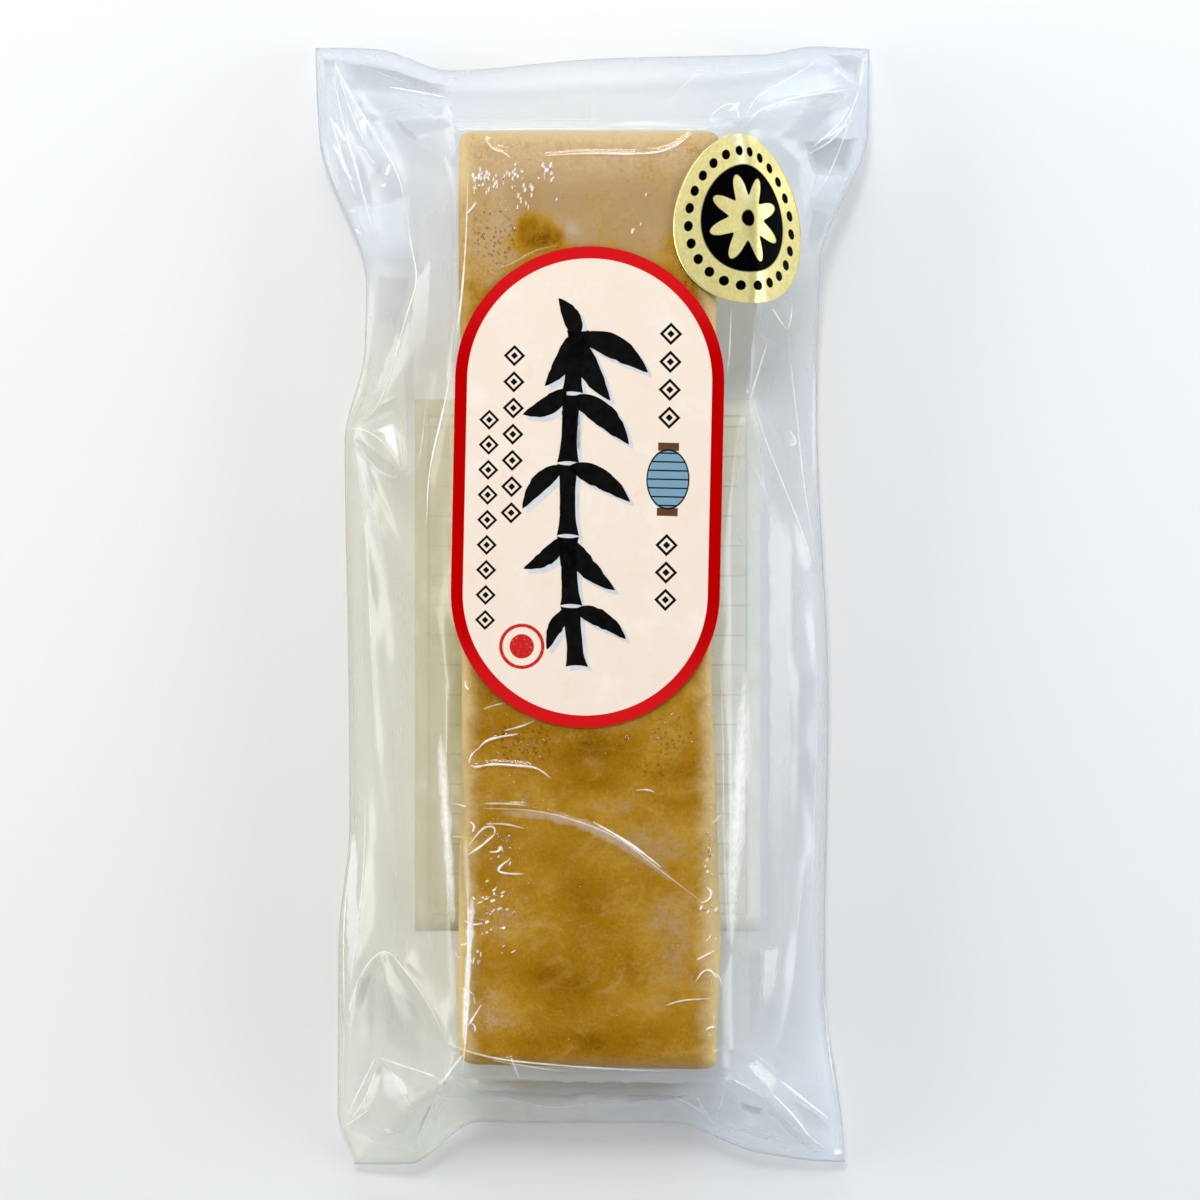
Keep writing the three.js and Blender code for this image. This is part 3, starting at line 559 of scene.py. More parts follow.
def sticker_cover(x, y):
    """1 where a sticker holds the film smooth, 0 well clear of both of them."""
    dx, dy = x - LABEL_X, y - LABEL_Y
    straight = LABEL_LENGTH / 2 - LABEL_WIDTH / 2
    beyond = np.maximum(np.abs(dy) - straight, 0)
    label = np.hypot(dx, beyond) - LABEL_WIDTH / 2
    seal = (np.hypot((x - SEAL_X) / SEAL_HALF_WIDTH, (y - SEAL_Y) / SEAL_HALF_LENGTH) - 1) * 13
    return 1 - smooth(np.minimum(label, seal), 0, 2.2)


def rounded_path(line):
    """A line through flat coordinates with its corners cut twice, a quarter from each end of each
    stretch, which tends to a smooth quadratic curve."""
    points = np.array(line, float).reshape(-1, 2)
    for _ in range(2):
        a, b = points[:-1], points[1:]
        cut = np.stack([0.75 * a + 0.25 * b, 0.25 * a + 0.75 * b], 1).reshape(-1, 2)
        points = np.concatenate([points[:1], cut, points[-1:]])
    return points


def fold(x, y, path, left, right, top):
    """A long fold of unit height along a path. The height falls to each side as the square of
    what is left of that side's width, so that the foot is smooth and the crest sharp but for
    its rounding, and it fades to both ends."""
    steps = np.diff(path, axis=0)
    near, place, side = np.full(x.shape, 1e9), np.zeros(x.shape), np.ones(x.shape)
    for k, (step_x, step_y) in enumerate(steps):
        dx, dy = x - path[k, 0], y - path[k, 1]
        s = np.clip((dx * step_x + dy * step_y) / (step_x**2 + step_y**2), 0, 1)
        distance = np.hypot(dx - s * step_x, dy - s * step_y)
        closer = distance < near
        near = np.where(closer, distance, near)
        place = np.where(closer, (k + s) / len(steps), place)
        side = np.where(closer, step_x * dy - step_y * dx, side)
    fade = np.sin(np.pi * np.clip(place * 0.96 + 0.02, 0, 1)) ** 0.6
    width = np.where(side > 0, left, right)
    section = np.clip(1 - (np.hypot(near, top) - top) / width, 0, 1) ** 2
    return fade * section


def add_folds(x, y, height, folds):
    """Adds folds to height, each on the points near it alone."""
    for rise, left, right, top, _, *line in folds:
        path = rounded_path(line)
        reach = max(left, right) + 1
        low, high = path.min(0) - reach, path.max(0) + reach
        near = (x > low[0]) & (x < high[0]) & (y > low[1]) & (y < high[1])
        if near.any():
            height[near] += rise * fold(x[near], y[near], path, left, right, top)


def short_line(x, y, aim, length, bend):
    """Three points of a short bent line about (x, y), as flat coordinates."""
    dx, dy = length * math.cos(aim) / 2, length * math.sin(aim) / 2
    return x - dx, y - dy, x - bend * math.sin(aim), y + bend * math.cos(aim), x + dx, y + dy


def slope_folds(count):
    """Random folds on the slopes. Beside the bar most run along it, and at its ends outwards."""
    for _ in range(count):
        sign = RANDOM.choice([-1, 1])
        if RANDOM.random() < 0.6:
            x, y = sign * RANDOM.uniform(27, 43), RANDOM.uniform(-78, 80)
            aim = math.radians(RANDOM.normal(90 + 5 * sign, 16))
        else:
            x, y = RANDOM.uniform(-42, 44), sign * RANDOM.uniform(85, 97)
            aim = math.atan2(y - sign * 74, x * 0.7) + RANDOM.normal(0, 0.3)
        length = RANDOM.uniform(7, 26)
        line = short_line(x, y, aim, length, RANDOM.normal(0, 0.06) * length)
        rise = RANDOM.uniform(0.15, 0.55) * RANDOM.choice([-1, 1])
        widths = RANDOM.uniform(1.6, 5, 2)
        yield (rise, *widths, RANDOM.uniform(0.3, 0.7), RANDOM.uniform(0, 0.3), *line)


def edge_puckers(count):
    """Random short puckers where the film turns over the bar's long edges."""
    for _ in range(count):
        sign = RANDOM.choice([-1, 1])
        x, y = sign * RANDOM.uniform(19.4, 22.4) + BAR_X, RANDOM.uniform(-78, 80)
        line = short_line(x, y, RANDOM.normal(0, 0.8), RANDOM.uniform(1.2, 3.4), RANDOM.normal(0, 0.3))
        rise = RANDOM.uniform(0.08, 0.2)
        widths = RANDOM.uniform(0.6, 1.0, 2)
        yield (rise, *widths, 0.12, RANDOM.uniform(0.2, 0.9), *line)


def wetness(x, y):
    """1 where the film clings wet to the bar, 0 where there is air between them."""
    cloud = 0.13 * soft_noise(x, y, 9, 7, 21) + 0.12 * soft_noise(x, y, 3.6, 3.0, 22)
    least = 0.3 * (1 - smooth(y, 42, 62)) + 0.12 * soft_noise(x, y, 6, 5, 23)
    return np.maximum(0.66 + cloud + places(x, y, WET_PLACES), least)


FOLDS_BESIDE = [*LEFT_FOLDS, *RIGHT_FOLDS, *CORNER_FOLDS, *slope_folds(34)]
FOLDS_OVER = [*TOP_WRINKLES, *edge_puckers(40)]


def film_surface(x, y):
    """Height of the whole upper film: the tent with its fine fans, single folds, wrinkles,
    puckers and long soft waves."""
    m = outwards(x, y)
    real_x, real_y = pouch_place(x, y)
    free = 1 - sticker_cover(real_x, real_y)
    slopes = smooth(m, 0.0, 0.1)
    inner = smooth(1 - m, 0, 0.1)
    height = folds_height(x, y, FINE_FANS, -1)
    height += 0.5 * soft_noise(real_x, real_y, 6, 38, 3) + 0.4 * soft_noise(real_x, real_y, 11, 13, 5)
    add_folds(real_x, real_y, height, FOLDS_BESIDE)
    height *= slopes * inner
    height += 0.1 * (1 + soft_noise(real_x, real_y, 12, 14, 4)) * (1 - slopes)
    height += 0.04 * (1 + soft_noise(real_x, real_y, 2.5, 2.5, 6)) * (1 - slopes)
    add_folds(real_x, real_y, height, FOLDS_OVER)
    return tent_height(x, y) + height * free


def grid_lines(rim, middle, half, slope_count, over_count):
    """Grid lines from one rim to the other: even steps over the bar and down each slope."""
    before = np.linspace(-rim, middle - half, slope_count, endpoint=False)
    over = np.linspace(middle - half, middle + half, over_count, endpoint=False)
    after = np.linspace(middle + half, rim, slope_count + 1)
    return np.concatenate([before, over, after])


def new_piece(name, points, faces, look, slot_name, *nodes):
    """A mesh piece from points in millimetres and a list or array of faces, shaded smooth, which
    replaces the given nodes and rides on the one body."""
    mesh = bpy.data.meshes.new(name)
    mesh.from_pydata((np.asarray(points) * MM).tolist(), [], [list(face) for face in faces])
    mesh.polygons.foreach_set("use_smooth", np.ones(len(mesh.polygons), bool))
    mesh.materials.append(look)
    mesh.update()
    piece = bpy.data.objects.new(name, mesh)
    bpy.context.scene.collection.objects.link(piece)
    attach(piece, "root")
    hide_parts(*nodes)
    return piece


def keep_values(piece, name, values):
    """Stores one number for each point of a piece, for its material to read."""
    attribute = piece.data.attributes.new(name, "FLOAT", "POINT")
    attribute.data.foreach_set("value", np.asarray(values, np.float32).ravel())


def keep_places(piece, across, up):
    """Stores a flat place in millimetres for each point of a piece as its UV map."""
    layer = piece.data.uv_layers.new(name="flat")
    loops = np.zeros(len(piece.data.loops), int)
    piece.data.loops.foreach_get("vertex_index", loops)
    flat = np.stack([np.ravel(across)[loops], np.ravel(up)[loops]], 1)
    layer.data.foreach_set("uv", flat.astype(np.float32).ravel())


def grid_faces(rows, columns, closed_round=False):
    """The squares of a grid of rows and columns of points, counted row by row, facing up where
    columns run to +X and rows to +Y."""
    steps = columns if closed_round else columns - 1
    j, i = np.meshgrid(np.arange(rows - 1), np.arange(steps), indexing="ij")
    near, right = j * columns, (i + 1) % columns
    far = near + columns
    return np.stack([near + i, near + right, far + right, far + i], -1).reshape(-1, 4)


def copied_faces(faces, copies, count):
    """The faces of a grid of count points, turned over, once for each copy of the grid."""
    starts = np.arange(copies) * count
    return (faces[None, :, ::-1] + starts[:, None, None]).reshape(-1, 4)


def pouch_film(look):
    """The film as one closed skin: the upper side is a fine grid, and the underside is rings that
    shrink from the same rim to the flat part, closed by a fan."""
    xs = grid_lines(NOMINAL_X, BAR_X, BAR_WIDTH / 2, 50, 98)
    ys = grid_lines(NOMINAL_Y, BAR_Y, BAR_LENGTH / 2, 36, 366)
    x, y = np.meshgrid(xs, ys)
    rows, columns = x.shape
    edge = np.zeros(x.shape, bool)
    edge[[0, -1]] = True
    edge[:, [0, -1]] = True
    z = np.where(edge, rim_height(x, y), film_surface(x, y))
    real_x, real_y = pouch_place(x, y)
    top = np.stack([real_x, real_y, z], -1).reshape(-1, 3)
    number = np.arange(rows * columns).reshape(rows, columns)
    rim = np.concatenate([number[0, :-1], number[:-1, -1], number[-1, :0:-1], number[:0:-1, 0]])
    rim_x, rim_y = x.ravel()[rim], y.ravel()[rim]
    rings = [top]
    for share in (0.15, 0.35, 0.6, 0.8, 1):
        ring_x = rim_x * (1 - (1 - FLAT_HALF_WIDTH / NOMINAL_X) * share)
        ring_y = rim_y * (1 - (1 - FLAT_HALF_LENGTH / NOMINAL_Y) * share)
        place = pouch_place(ring_x, ring_y)
        rings.append(np.stack([*place, underside_height(ring_x, ring_y)], -1))
    rings.append(np.array([[0, 0, FILM_UNDER]]))
    points = np.concatenate(rings)
    ids = np.concatenate([rim, np.arange(len(top), len(points) - 1)]).reshape(-1, len(rim))
    after = np.roll(ids, -1, 1)
    under = np.stack([ids[:-1], ids[1:], after[1:], after[:-1]], -1).reshape(-1, 4)
    centre = np.full(len(rim), len(points) - 1)
    fan = np.stack([ids[-1], centre, after[-1]], -1)
    faces = grid_faces(rows, columns).tolist() + under.tolist() + fan.tolist()
    piece = new_piece("bag_film", points, faces, look, "clear_film", "bag")
    extra = np.ones(len(points) - len(top))
    keep_values(piece, "rim", np.concatenate([edge.ravel(), 0 * extra]))
    slope = smooth(outwards(x, y), 0.0, 0.1)
    keep_values(piece, "slope", np.concatenate([slope.ravel(), 0.2 * extra]))
    keep_values(piece, "wet", np.concatenate([wetness(real_x, real_y).ravel(), 0 * extra]))
    # Milk stored on the points: random clouds on the slopes, and the painted light and shade of the listed
    # places.
    cloud = 0.03 * soft_noise(real_x, real_y, 14, 20, 44)
    haze_and_painted_light = places(real_x, real_y, HAZE_AND_PAINTED_LIGHT_PLACES) + cloud * slope
    keep_values(piece, "haze_and_painted_light", np.concatenate([haze_and_painted_light.ravel(), 0 * extra]))
    return piece


def gleam_lines():
    """The paths of all lines of light as (width, how bright, path): the folds' crests, soft
    streaks, and clusters of short glints that run nearly the same way."""
    for _, _, _, _, white, *line in FOLDS_BESIDE:
        if white >= 0.25:
            yield 0.24 + 0.3 * white, 0.9 * white, line
    for _, _, _, _, white, *line in FOLDS_OVER:
        if white >= 0.35:
            yield 0.22 + 0.3 * white, 1.1 * white, line
    for width, white, *line in STREAKS:
        yield width, white, line
    for at_x, at_y, spread, count, degrees in GLINTS:
        for _ in range(count):
            x, y = RANDOM.normal((at_x, at_y), spread)
            aim = math.radians(degrees) + RANDOM.normal(0, 0.12)
            line = short_line(x, y, aim, RANDOM.uniform(0.3, 1.1), 0)
            yield RANDOM.uniform(0.25, 0.6), RANDOM.uniform(0.4, 1.1), line


def gleams(look):
    """Crisp lines of light along folds and wrinkles: narrow strips lying on the film, tapered to
    both ends, each a grid whose gleam falls to 0 at its edges and ends."""
    t = np.linspace(0, 1, GLEAM_ROWS)[:, None]
    s = np.linspace(-1, 1, GLEAM_COLUMNS)[None]
    shape = np.sin(np.pi * t)
    xs, ys, gleam = [], [], []
    for width, white, line in gleam_lines():
        path = rounded_path(line)
        at = t[:, 0] * (len(path) - 1)
        x = np.interp(at, np.arange(len(path)), path[:, 0])
        y = np.interp(at, np.arange(len(path)), path[:, 1])
        step_x, step_y = np.gradient(x), np.gradient(y)
        long = np.hypot(step_x, step_y)
        uneven = 1 + 0.45 * soft_noise(x * 1.3, y * 1.3, 1.1, 1.1, 41)
        half = (width / 2 * uneven)[:, None] * (0.25 + 0.75 * shape**0.7)
        xs.append(x[:, None] - (step_y / long)[:, None] * half * s)
        ys.append(y[:, None] + (step_x / long)[:, None] * half * s)
        gleam.append(white * shape**0.6 * (1 - s * s))
    x, y, gleam = np.array(xs), np.array(ys), np.array(gleam)
    z = film_surface(*nominal_place(x, y)) + GLEAM_LIFT
    one = grid_faces(GLEAM_ROWS, GLEAM_COLUMNS)
    faces = copied_faces(one, len(xs), GLEAM_ROWS * GLEAM_COLUMNS)
    points = np.stack([x, y, z], -1).reshape(-1, 3)
    piece = new_piece("gleams", points, faces, look, "clear_film", "bag")
    keep_values(piece, "gleam", gleam * (1 - sticker_cover(x, y)))
    return piece


def facets(name, flats, look):
    """Painted light and shade on flat faces between the film's folds: each face is a grid across
    four corners, kept inside the pouch and laid on the film. Its gleam, the share of painted colour
    that it shows, is crisp along the side between the first two corners, changes evenly to its
    share at the other side, and falls to 0 at all four sides."""
    xs, ys, gleam, faces, count = [], [], [], [], 0
    for strength, left, *line in flats:
        corners = np.array(line).reshape(4, 2)
        (ax, ay), (bx, by) = corners[1] - corners[0], corners[3] - corners[0]
        if ax * by < ay * bx:
            corners = corners[[1, 0, 3, 2]]
        sides = np.hypot(*(corners - np.roll(corners, 1, 0)).T)
        t = np.linspace(0, 1, int(max(sides[0], sides[2]) / FACE_STEP) + 9)[:, None]
        s = np.linspace(0, 1, int(max(sides[1], sides[3]) / FACE_STEP) + 9)[None]
        first = corners[0] + (corners[1] - corners[0]) * s[..., None]
        last = corners[3] + (corners[2] - corners[3]) * s[..., None]
        x, y = np.moveaxis(first + (last - first) * t[..., None], -1, 0)
        edges = smooth(t, 0, 0.1) * smooth(1 - t, 0, 0.35) * smooth(np.minimum(s, 1 - s), 0, 0.2)
        xs.append((x + 0.25 * soft_noise(x, y, 1.5, 1.5, 42)).ravel())
        ys.append((y + 0.25 * soft_noise(x, y, 1.5, 1.5, 43)).ravel())
        gleam.append((strength * (1 + (left - 1) * t) * edges).ravel())
        faces.append(grid_faces(*x.shape) + count)
        count += x.size
    x, y = nominal_place(np.concatenate(xs), np.concatenate(ys))
    x = np.clip(x, 0.6 - NOMINAL_X, NOMINAL_X - 0.6)
    y = np.clip(y, 0.6 - NOMINAL_Y, NOMINAL_Y - 0.6)
    points = np.stack([*pouch_place(x, y), film_surface(x, y) + FACE_LIFT], -1)
    piece = new_piece(name, points, np.concatenate(faces), look, "clear_film", "bag")
    keep_values(piece, "gleam", np.concatenate(gleam))
    return piece


def bar_top(x, y):
    """Height of the fish cake's upper side: a little under the film, with slow unevenness."""
    uneven = 0.05 * soft_noise(x, y, 11, 9, 7) + 0.03 * soft_noise(x, y, 3, 3, 8)
    return tent_height(x, y) - BAR_GAP + uneven


def bar_section(half, height):
    """A closed loop of points round a rectangle with rounded corners, about its middle, with the
    points close together on its upper side."""
    turn = np.linspace(0, math.pi / 2, 8)
    corner = np.stack([np.cos(turn), np.sin(turn)], 1) * BAR_EDGE
    middle = np.array([half - BAR_EDGE, height / 2 - BAR_EDGE])
    runs = []
    for sign_x, sign_z in ((1, 1), (-1, 1), (-1, -1), (1, -1)):
        arc = corner if sign_x == sign_z else corner[::-1]
        runs.append((middle + arc) * [sign_x, sign_z])
    loop = []
    for run, after, steps in zip(runs, runs[1:] + runs[:1], (90, 16, 30, 16)):
        share = np.linspace(0, 1, steps, endpoint=False)[1:, None]
        loop += [run, run[-1] + (after[0] - run[-1]) * share]
    return np.concatenate(loop)


def fish_cake(look):
    """The bar: a rounded rectangle carried from end to end between the two measured sides. Near
    the ends it is drawn in by a quarter circle, wider in plan than in height, and each end is
    closed by loops that shrink to its middle."""
    base = 0.5
    height = BAR_HEIGHT - base
    half, length = BAR_WIDTH / 2, BAR_LENGTH / 2
    loop = bar_section(half, height)
    turn = np.linspace(0, math.pi / 2, 12)
    near_end = BAR_CORNER * (1 - np.cos(turn))
    inset = np.concatenate([np.zeros(8), near_end, np.linspace(near_end[-1], length, 190)[1:]])
    shrink = np.concatenate([np.linspace(0.002, 1, 8, endpoint=False), np.ones(len(inset) - 8)])
    inset = np.concatenate([inset, inset[-2::-1]])
    shrink = np.concatenate([shrink, shrink[-2::-1]])
    station = np.linspace(1, -1, len(inset))
    s = np.sign(station) * (length - inset)

    def drawn_in(radius):
        return radius - np.sqrt(radius**2 - np.clip(radius - inset, 0, radius) ** 2)

    wide = (1 - drawn_in(BAR_CORNER) / half) * shrink
    tall = (1 - drawn_in(BAR_END_EDGE) / (height / 2)) * shrink
    share = loop[:, 0] / half * wide[:, None]
    y = s[:, None] + BAR_Y - BAR_SKEW * share * smooth(-s, 60, 80)[:, None]
    left, right = along(LEFT_SIDE, y), along(RIGHT_SIDE, y)
    x = (left + right) / 2 + share * (right - left) / 2
    rise = 0.5 + loop[:, 1] / height * tall[:, None]
    x += 0.3 * soft_noise(y, rise * height, 14, 8, 9) * smooth(np.abs(share), 0.8, 1)
    z = base + rise * height
    z += smooth(rise, 0.6, 0.98) * (bar_top(x, y) - BAR_HEIGHT)
    points = np.stack([x, y, z], -1).reshape(-1, 3)
    rows, columns = x.shape
    faces = grid_faces(rows, columns, True).tolist()
    faces.append(list(range(columns))[::-1])
    faces.append(list(range(len(points) - columns, len(points))))
    piece = new_piece("fish_cake", points, faces, look, "fish_cake", "bag")
    keep_values(piece, "wet", wetness(x, y))
    keep_values(piece, "pitted", places(x, y, PITTED_PLACES))
    return piece


def moisture(look):
    """Beads of juice between the film and the bar: flattened domes of random size, gathered round
    a few places and along the right edge."""
    groups = [
        (-15, 69, 3, 50), (17, 58, 2, 20), (-13, -25, 4, 70), (13, -23, 4, 40), (-17, -52, 2, 40),
        (-15, -41, 2.4, 40), (8, -62, 9, 14), (-6, -72, 9, 10),
    ]
    spots = [RANDOM.normal((x, y), spread, (count, 2)) for x, y, spread, count in groups]
    spots.append(np.stack([RANDOM.normal(20.3, 0.5, 110), RANDOM.uniform(-77, -14, 110)], 1))
    x, y = np.concatenate(spots).T
    inside = (np.abs(x - BAR_X) < BAR_WIDTH / 2 - 0.9) & (np.abs(y - BAR_Y) < BAR_LENGTH / 2 - 3)
    x, y = x[inside], y[inside]
    size = 0.09 + 0.32 * RANDOM.random(len(x)) ** 4
    around = np.linspace(0, 2 * math.pi, BEAD_POINTS, endpoint=False)
    polar = np.array([0.02, 0.4, 0.8, 1.2, 1.5])
    ring = np.stack([np.cos(around), np.sin(around), np.ones(BEAD_POINTS)], -1)
    profile = np.stack([np.sin(polar), np.sin(polar), np.cos(polar)], -1)
    dome = profile[:, None] * ring[None]
    centre = np.stack([x, y, bar_top(x, y) - 0.02], -1)
    long = size * RANDOM.uniform(0.75, 1.3, len(x))
    scale = np.stack([size, long, np.minimum(size * 0.6, 0.16)], -1)
    points = centre[:, None, None] + dome[None] * scale[:, None, None]
    one = grid_faces(len(polar), BEAD_POINTS, True)
    faces = copied_faces(one, len(x), len(polar) * BEAD_POINTS)
    return new_piece("moisture", points.reshape(-1, 3), faces, look, "clear_film", "bag")


def sticker_place(across, up, centre, tilt, squeeze, lift):
    """Points on a sticker from flat places about its middle. To the right of its middle line it
    is squeezed, where it slopes down with the film. lift is its height above the film, whose
    own height is the mean of five places in a row, because paper bends less sharply."""
    plan = np.where(across > 0, across * squeeze, across)
    x = centre[0] + plan * math.cos(tilt) - up * math.sin(tilt)
    y = centre[1] + plan * math.sin(tilt) + up * math.cos(tilt)
    beside = [tent_height(*nominal_place(x + shift, y)) for shift in (-1.2, -0.6, 0, 0.6, 1.2)]
    return np.stack([x, y, sum(beside) / 5 + lift], -1).reshape(-1, 3)


def thicken(piece, thickness):
    """Gives a sheet its thickness in millimetres, below its points."""
    wall = piece.modifiers.new("paper", "SOLIDIFY")
    wall.thickness = thickness * MM
    wall.offset = -1


def sticker(name, across, up, centre, tilt, squeeze, look, slot_name, node):
    """A thin sheet on the film. across and up are flat places from its middle, in two grids."""
    points = sticker_place(across, up, centre, tilt, squeeze, STICKER_LIFT)
    piece = new_piece(name, points, grid_faces(*across.shape), look, slot_name, node)
    keep_places(piece, across, up)
    thicken(piece, PAPER_THICKNESS)
    return piece


def front_sticker(look):
    """The long label: rows across a stadium, whose half width is a straight run and two half
    circles."""
    radius, straight = LABEL_WIDTH / 2, LABEL_LENGTH / 2 - LABEL_WIDTH / 2
    turn = np.linspace(-math.pi / 2, 0, 34)[1:]
    low = np.stack([radius * np.cos(turn), -straight + radius * np.sin(turn)], 1)
    run = np.linspace(-straight, straight, 46)[1:-1]
    middle = np.stack([np.full(len(run), radius), run], 1)
    half, up = np.concatenate([low, middle, low[::-1] * [1, -1]]).T
    half = np.concatenate([[0.4], half, [0.4]])
    up = np.concatenate([[-LABEL_LENGTH / 2], up, [LABEL_LENGTH / 2]])
    share = np.sin(np.linspace(-math.pi / 2, math.pi / 2, 61))
    across = half[:, None] * share[None]
    return sticker("front_sticker", across, up[:, None] + 0 * across, (LABEL_X, LABEL_Y), LABEL_TILT,
                   1.0, look, "label_paper", "front_label")


def leaf(x, y, aim, length, width, bend):
    """A leaf as a grid of flat places: its middle line is bent as a parabola, and its half width
    is t^0.55 (1 - t)^0.85, widest before its middle and running out to a point."""
    t = np.linspace(0.004, 0.996, 26)[:, None]
    s = np.linspace(1, -1, 5)[None]
    fray = 1 + 0.1 * soft_noise(10 * t + x, 7 * s + y, 0.8, 7, 31)
    half = width / 2 * (t**0.55 * (1 - t) ** 0.85 / 0.39) * fray
    run, aside = length * t + 0 * s, half * s + bend * 4 * t * (1 - t)
    turn = math.radians(aim)
    return (x + run * math.cos(turn) - aside * math.sin(turn),
            y + run * math.sin(turn) + aside * math.cos(turn))


def stem_piece(low, high):
    """One length of the stem between two knots as a grid of flat places, wider at its ends."""
    t = np.linspace(0, 1, 18)[:, None]
    s = np.linspace(-1, 1, 7)[None]
    up = low + 0.35 + (high - low - 0.7) * t + 0.25 * s * s * np.sign(t - 0.5)
    fray = 0.09 * soft_noise(up, 9 * s, 1.2, 6, 32)
    half = 1.35 + 0.55 * np.abs(2 * t - 1) ** 3 + fray
    return -3.4 + 1.4 * ((up - 2) / 26) ** 2 + half * s, up


def label_ink(name, look, shift_x, shift_y, lift):
    """The brush drawing on the long label, a bamboo stem with its leaves, as one flat mesh."""
    grids = [leaf(*values) for values in LEAVES]
    grids += [stem_piece(low, high) for low, high in zip(STEM, STEM[1:])]
    points, faces, count = [], [], 0
    for across, up in grids:
        points.append(sticker_place(across + shift_x, up + shift_y, (LABEL_X, LABEL_Y), LABEL_TILT,
                                    1.0, STICKER_LIFT + lift))
        faces.append(grid_faces(*across.shape) + count)
        count += across.size
    points, faces = np.concatenate(points), np.concatenate(faces)
    return new_piece(name, points, faces, look, "label_paper", "front_label")


def gold_sticker(look):
    """The gold seal: rows across an egg, an ellipse that is narrower towards its top."""
    turn = np.linspace(-math.pi / 2, math.pi / 2, 72)
    turn[[0, -1]] *= 0.985
    half = SEAL_HALF_WIDTH * np.cos(turn) * (1 - SEAL_TAPER * np.sin(turn))
    share = np.linspace(-1, 1, 57)
    across = half[:, None] * share[None]
    up = SEAL_HALF_LENGTH * np.sin(turn)[:, None] + 0 * across
    return sticker("gold_sticker", across, up, (SEAL_X, SEAL_Y), SEAL_TILT,
                   SEAL_SLOPED_SHARE, look, "gold_foil", "gold_seal")


def back_sticker(look):
    """The label under the pouch: a flat sheet, a little thinner than its solid."""
    across, along_it = np.linspace(-0.5, 0.5, 24), np.linspace(-0.5, 0.5, 36)
    x, y = np.meshgrid(across * BACK_WIDTH, along_it * BACK_LENGTH)
    points = np.stack([x + BACK_X, y + BACK_Y, np.full(x.shape, BACK_HEIGHT)], -1).reshape(-1, 3)
    piece = new_piece("back_sticker", points, grid_faces(*x.shape), look, "back_paper", "back_label")
    keep_places(piece, x, y)
    thicken(piece, BACK_THICKNESS)
    return piece


def tint(red, green, blue):
    """A colour as seen on a screen, from 0 to 255, as the linear colour that a shader takes."""
    channels = [c / 255 for c in (red, green, blue)]
    return [c / 12.92 if c <= 0.04045 else ((c + 0.055) / 1.055) ** 2.4 for c in channels] + [1.0]


class Value:
    """The output of a node, on which sums, products and powers add Math nodes."""

    def __init__(self, look, socket):
        self.look = look
        self.socket = socket

    def math(self, operation, *others):
        inputs = dict(enumerate((self, *others)))
        return self.look.add("ShaderNodeMath", {"operation": operation}, inputs)

    def __add__(self, other):
        return self.math("ADD", other)

    def __sub__(self, other):
        return self.math("SUBTRACT", other)

    def __mul__(self, other):
        return self.math("MULTIPLY", other)

    def __truediv__(self, other):
        return self.math("DIVIDE", other)

    def __pow__(self, other):
        return self.math("POWER", other)

    def __neg__(self):
        return self.math("MULTIPLY", -1.0)

    def __abs__(self):
        return self.math("ABSOLUTE")

    def __rsub__(self, other):
        return -self + other

    __radd__ = __add__
    __rmul__ = __mul__

    def sine(self):
        return self.math("SINE")

    def least(self, other):
        return self.math("MINIMUM", other)

    def most(self, other):
        return self.math("MAXIMUM", other)

    def repeat(self, step):
        """Its distance from the nearest multiple of step."""
        return self.math("PINGPONG", step / 2)

    def step(self, low, high):
        """0 below low and 1 above high, smooth between them. low may be above high."""
        return self.look.add("ShaderNodeMapRange", {"interpolation_type": "SMOOTHSTEP"},
                             {0: self, 1: low, 2: high, 3: 0.0, 4: 1.0})


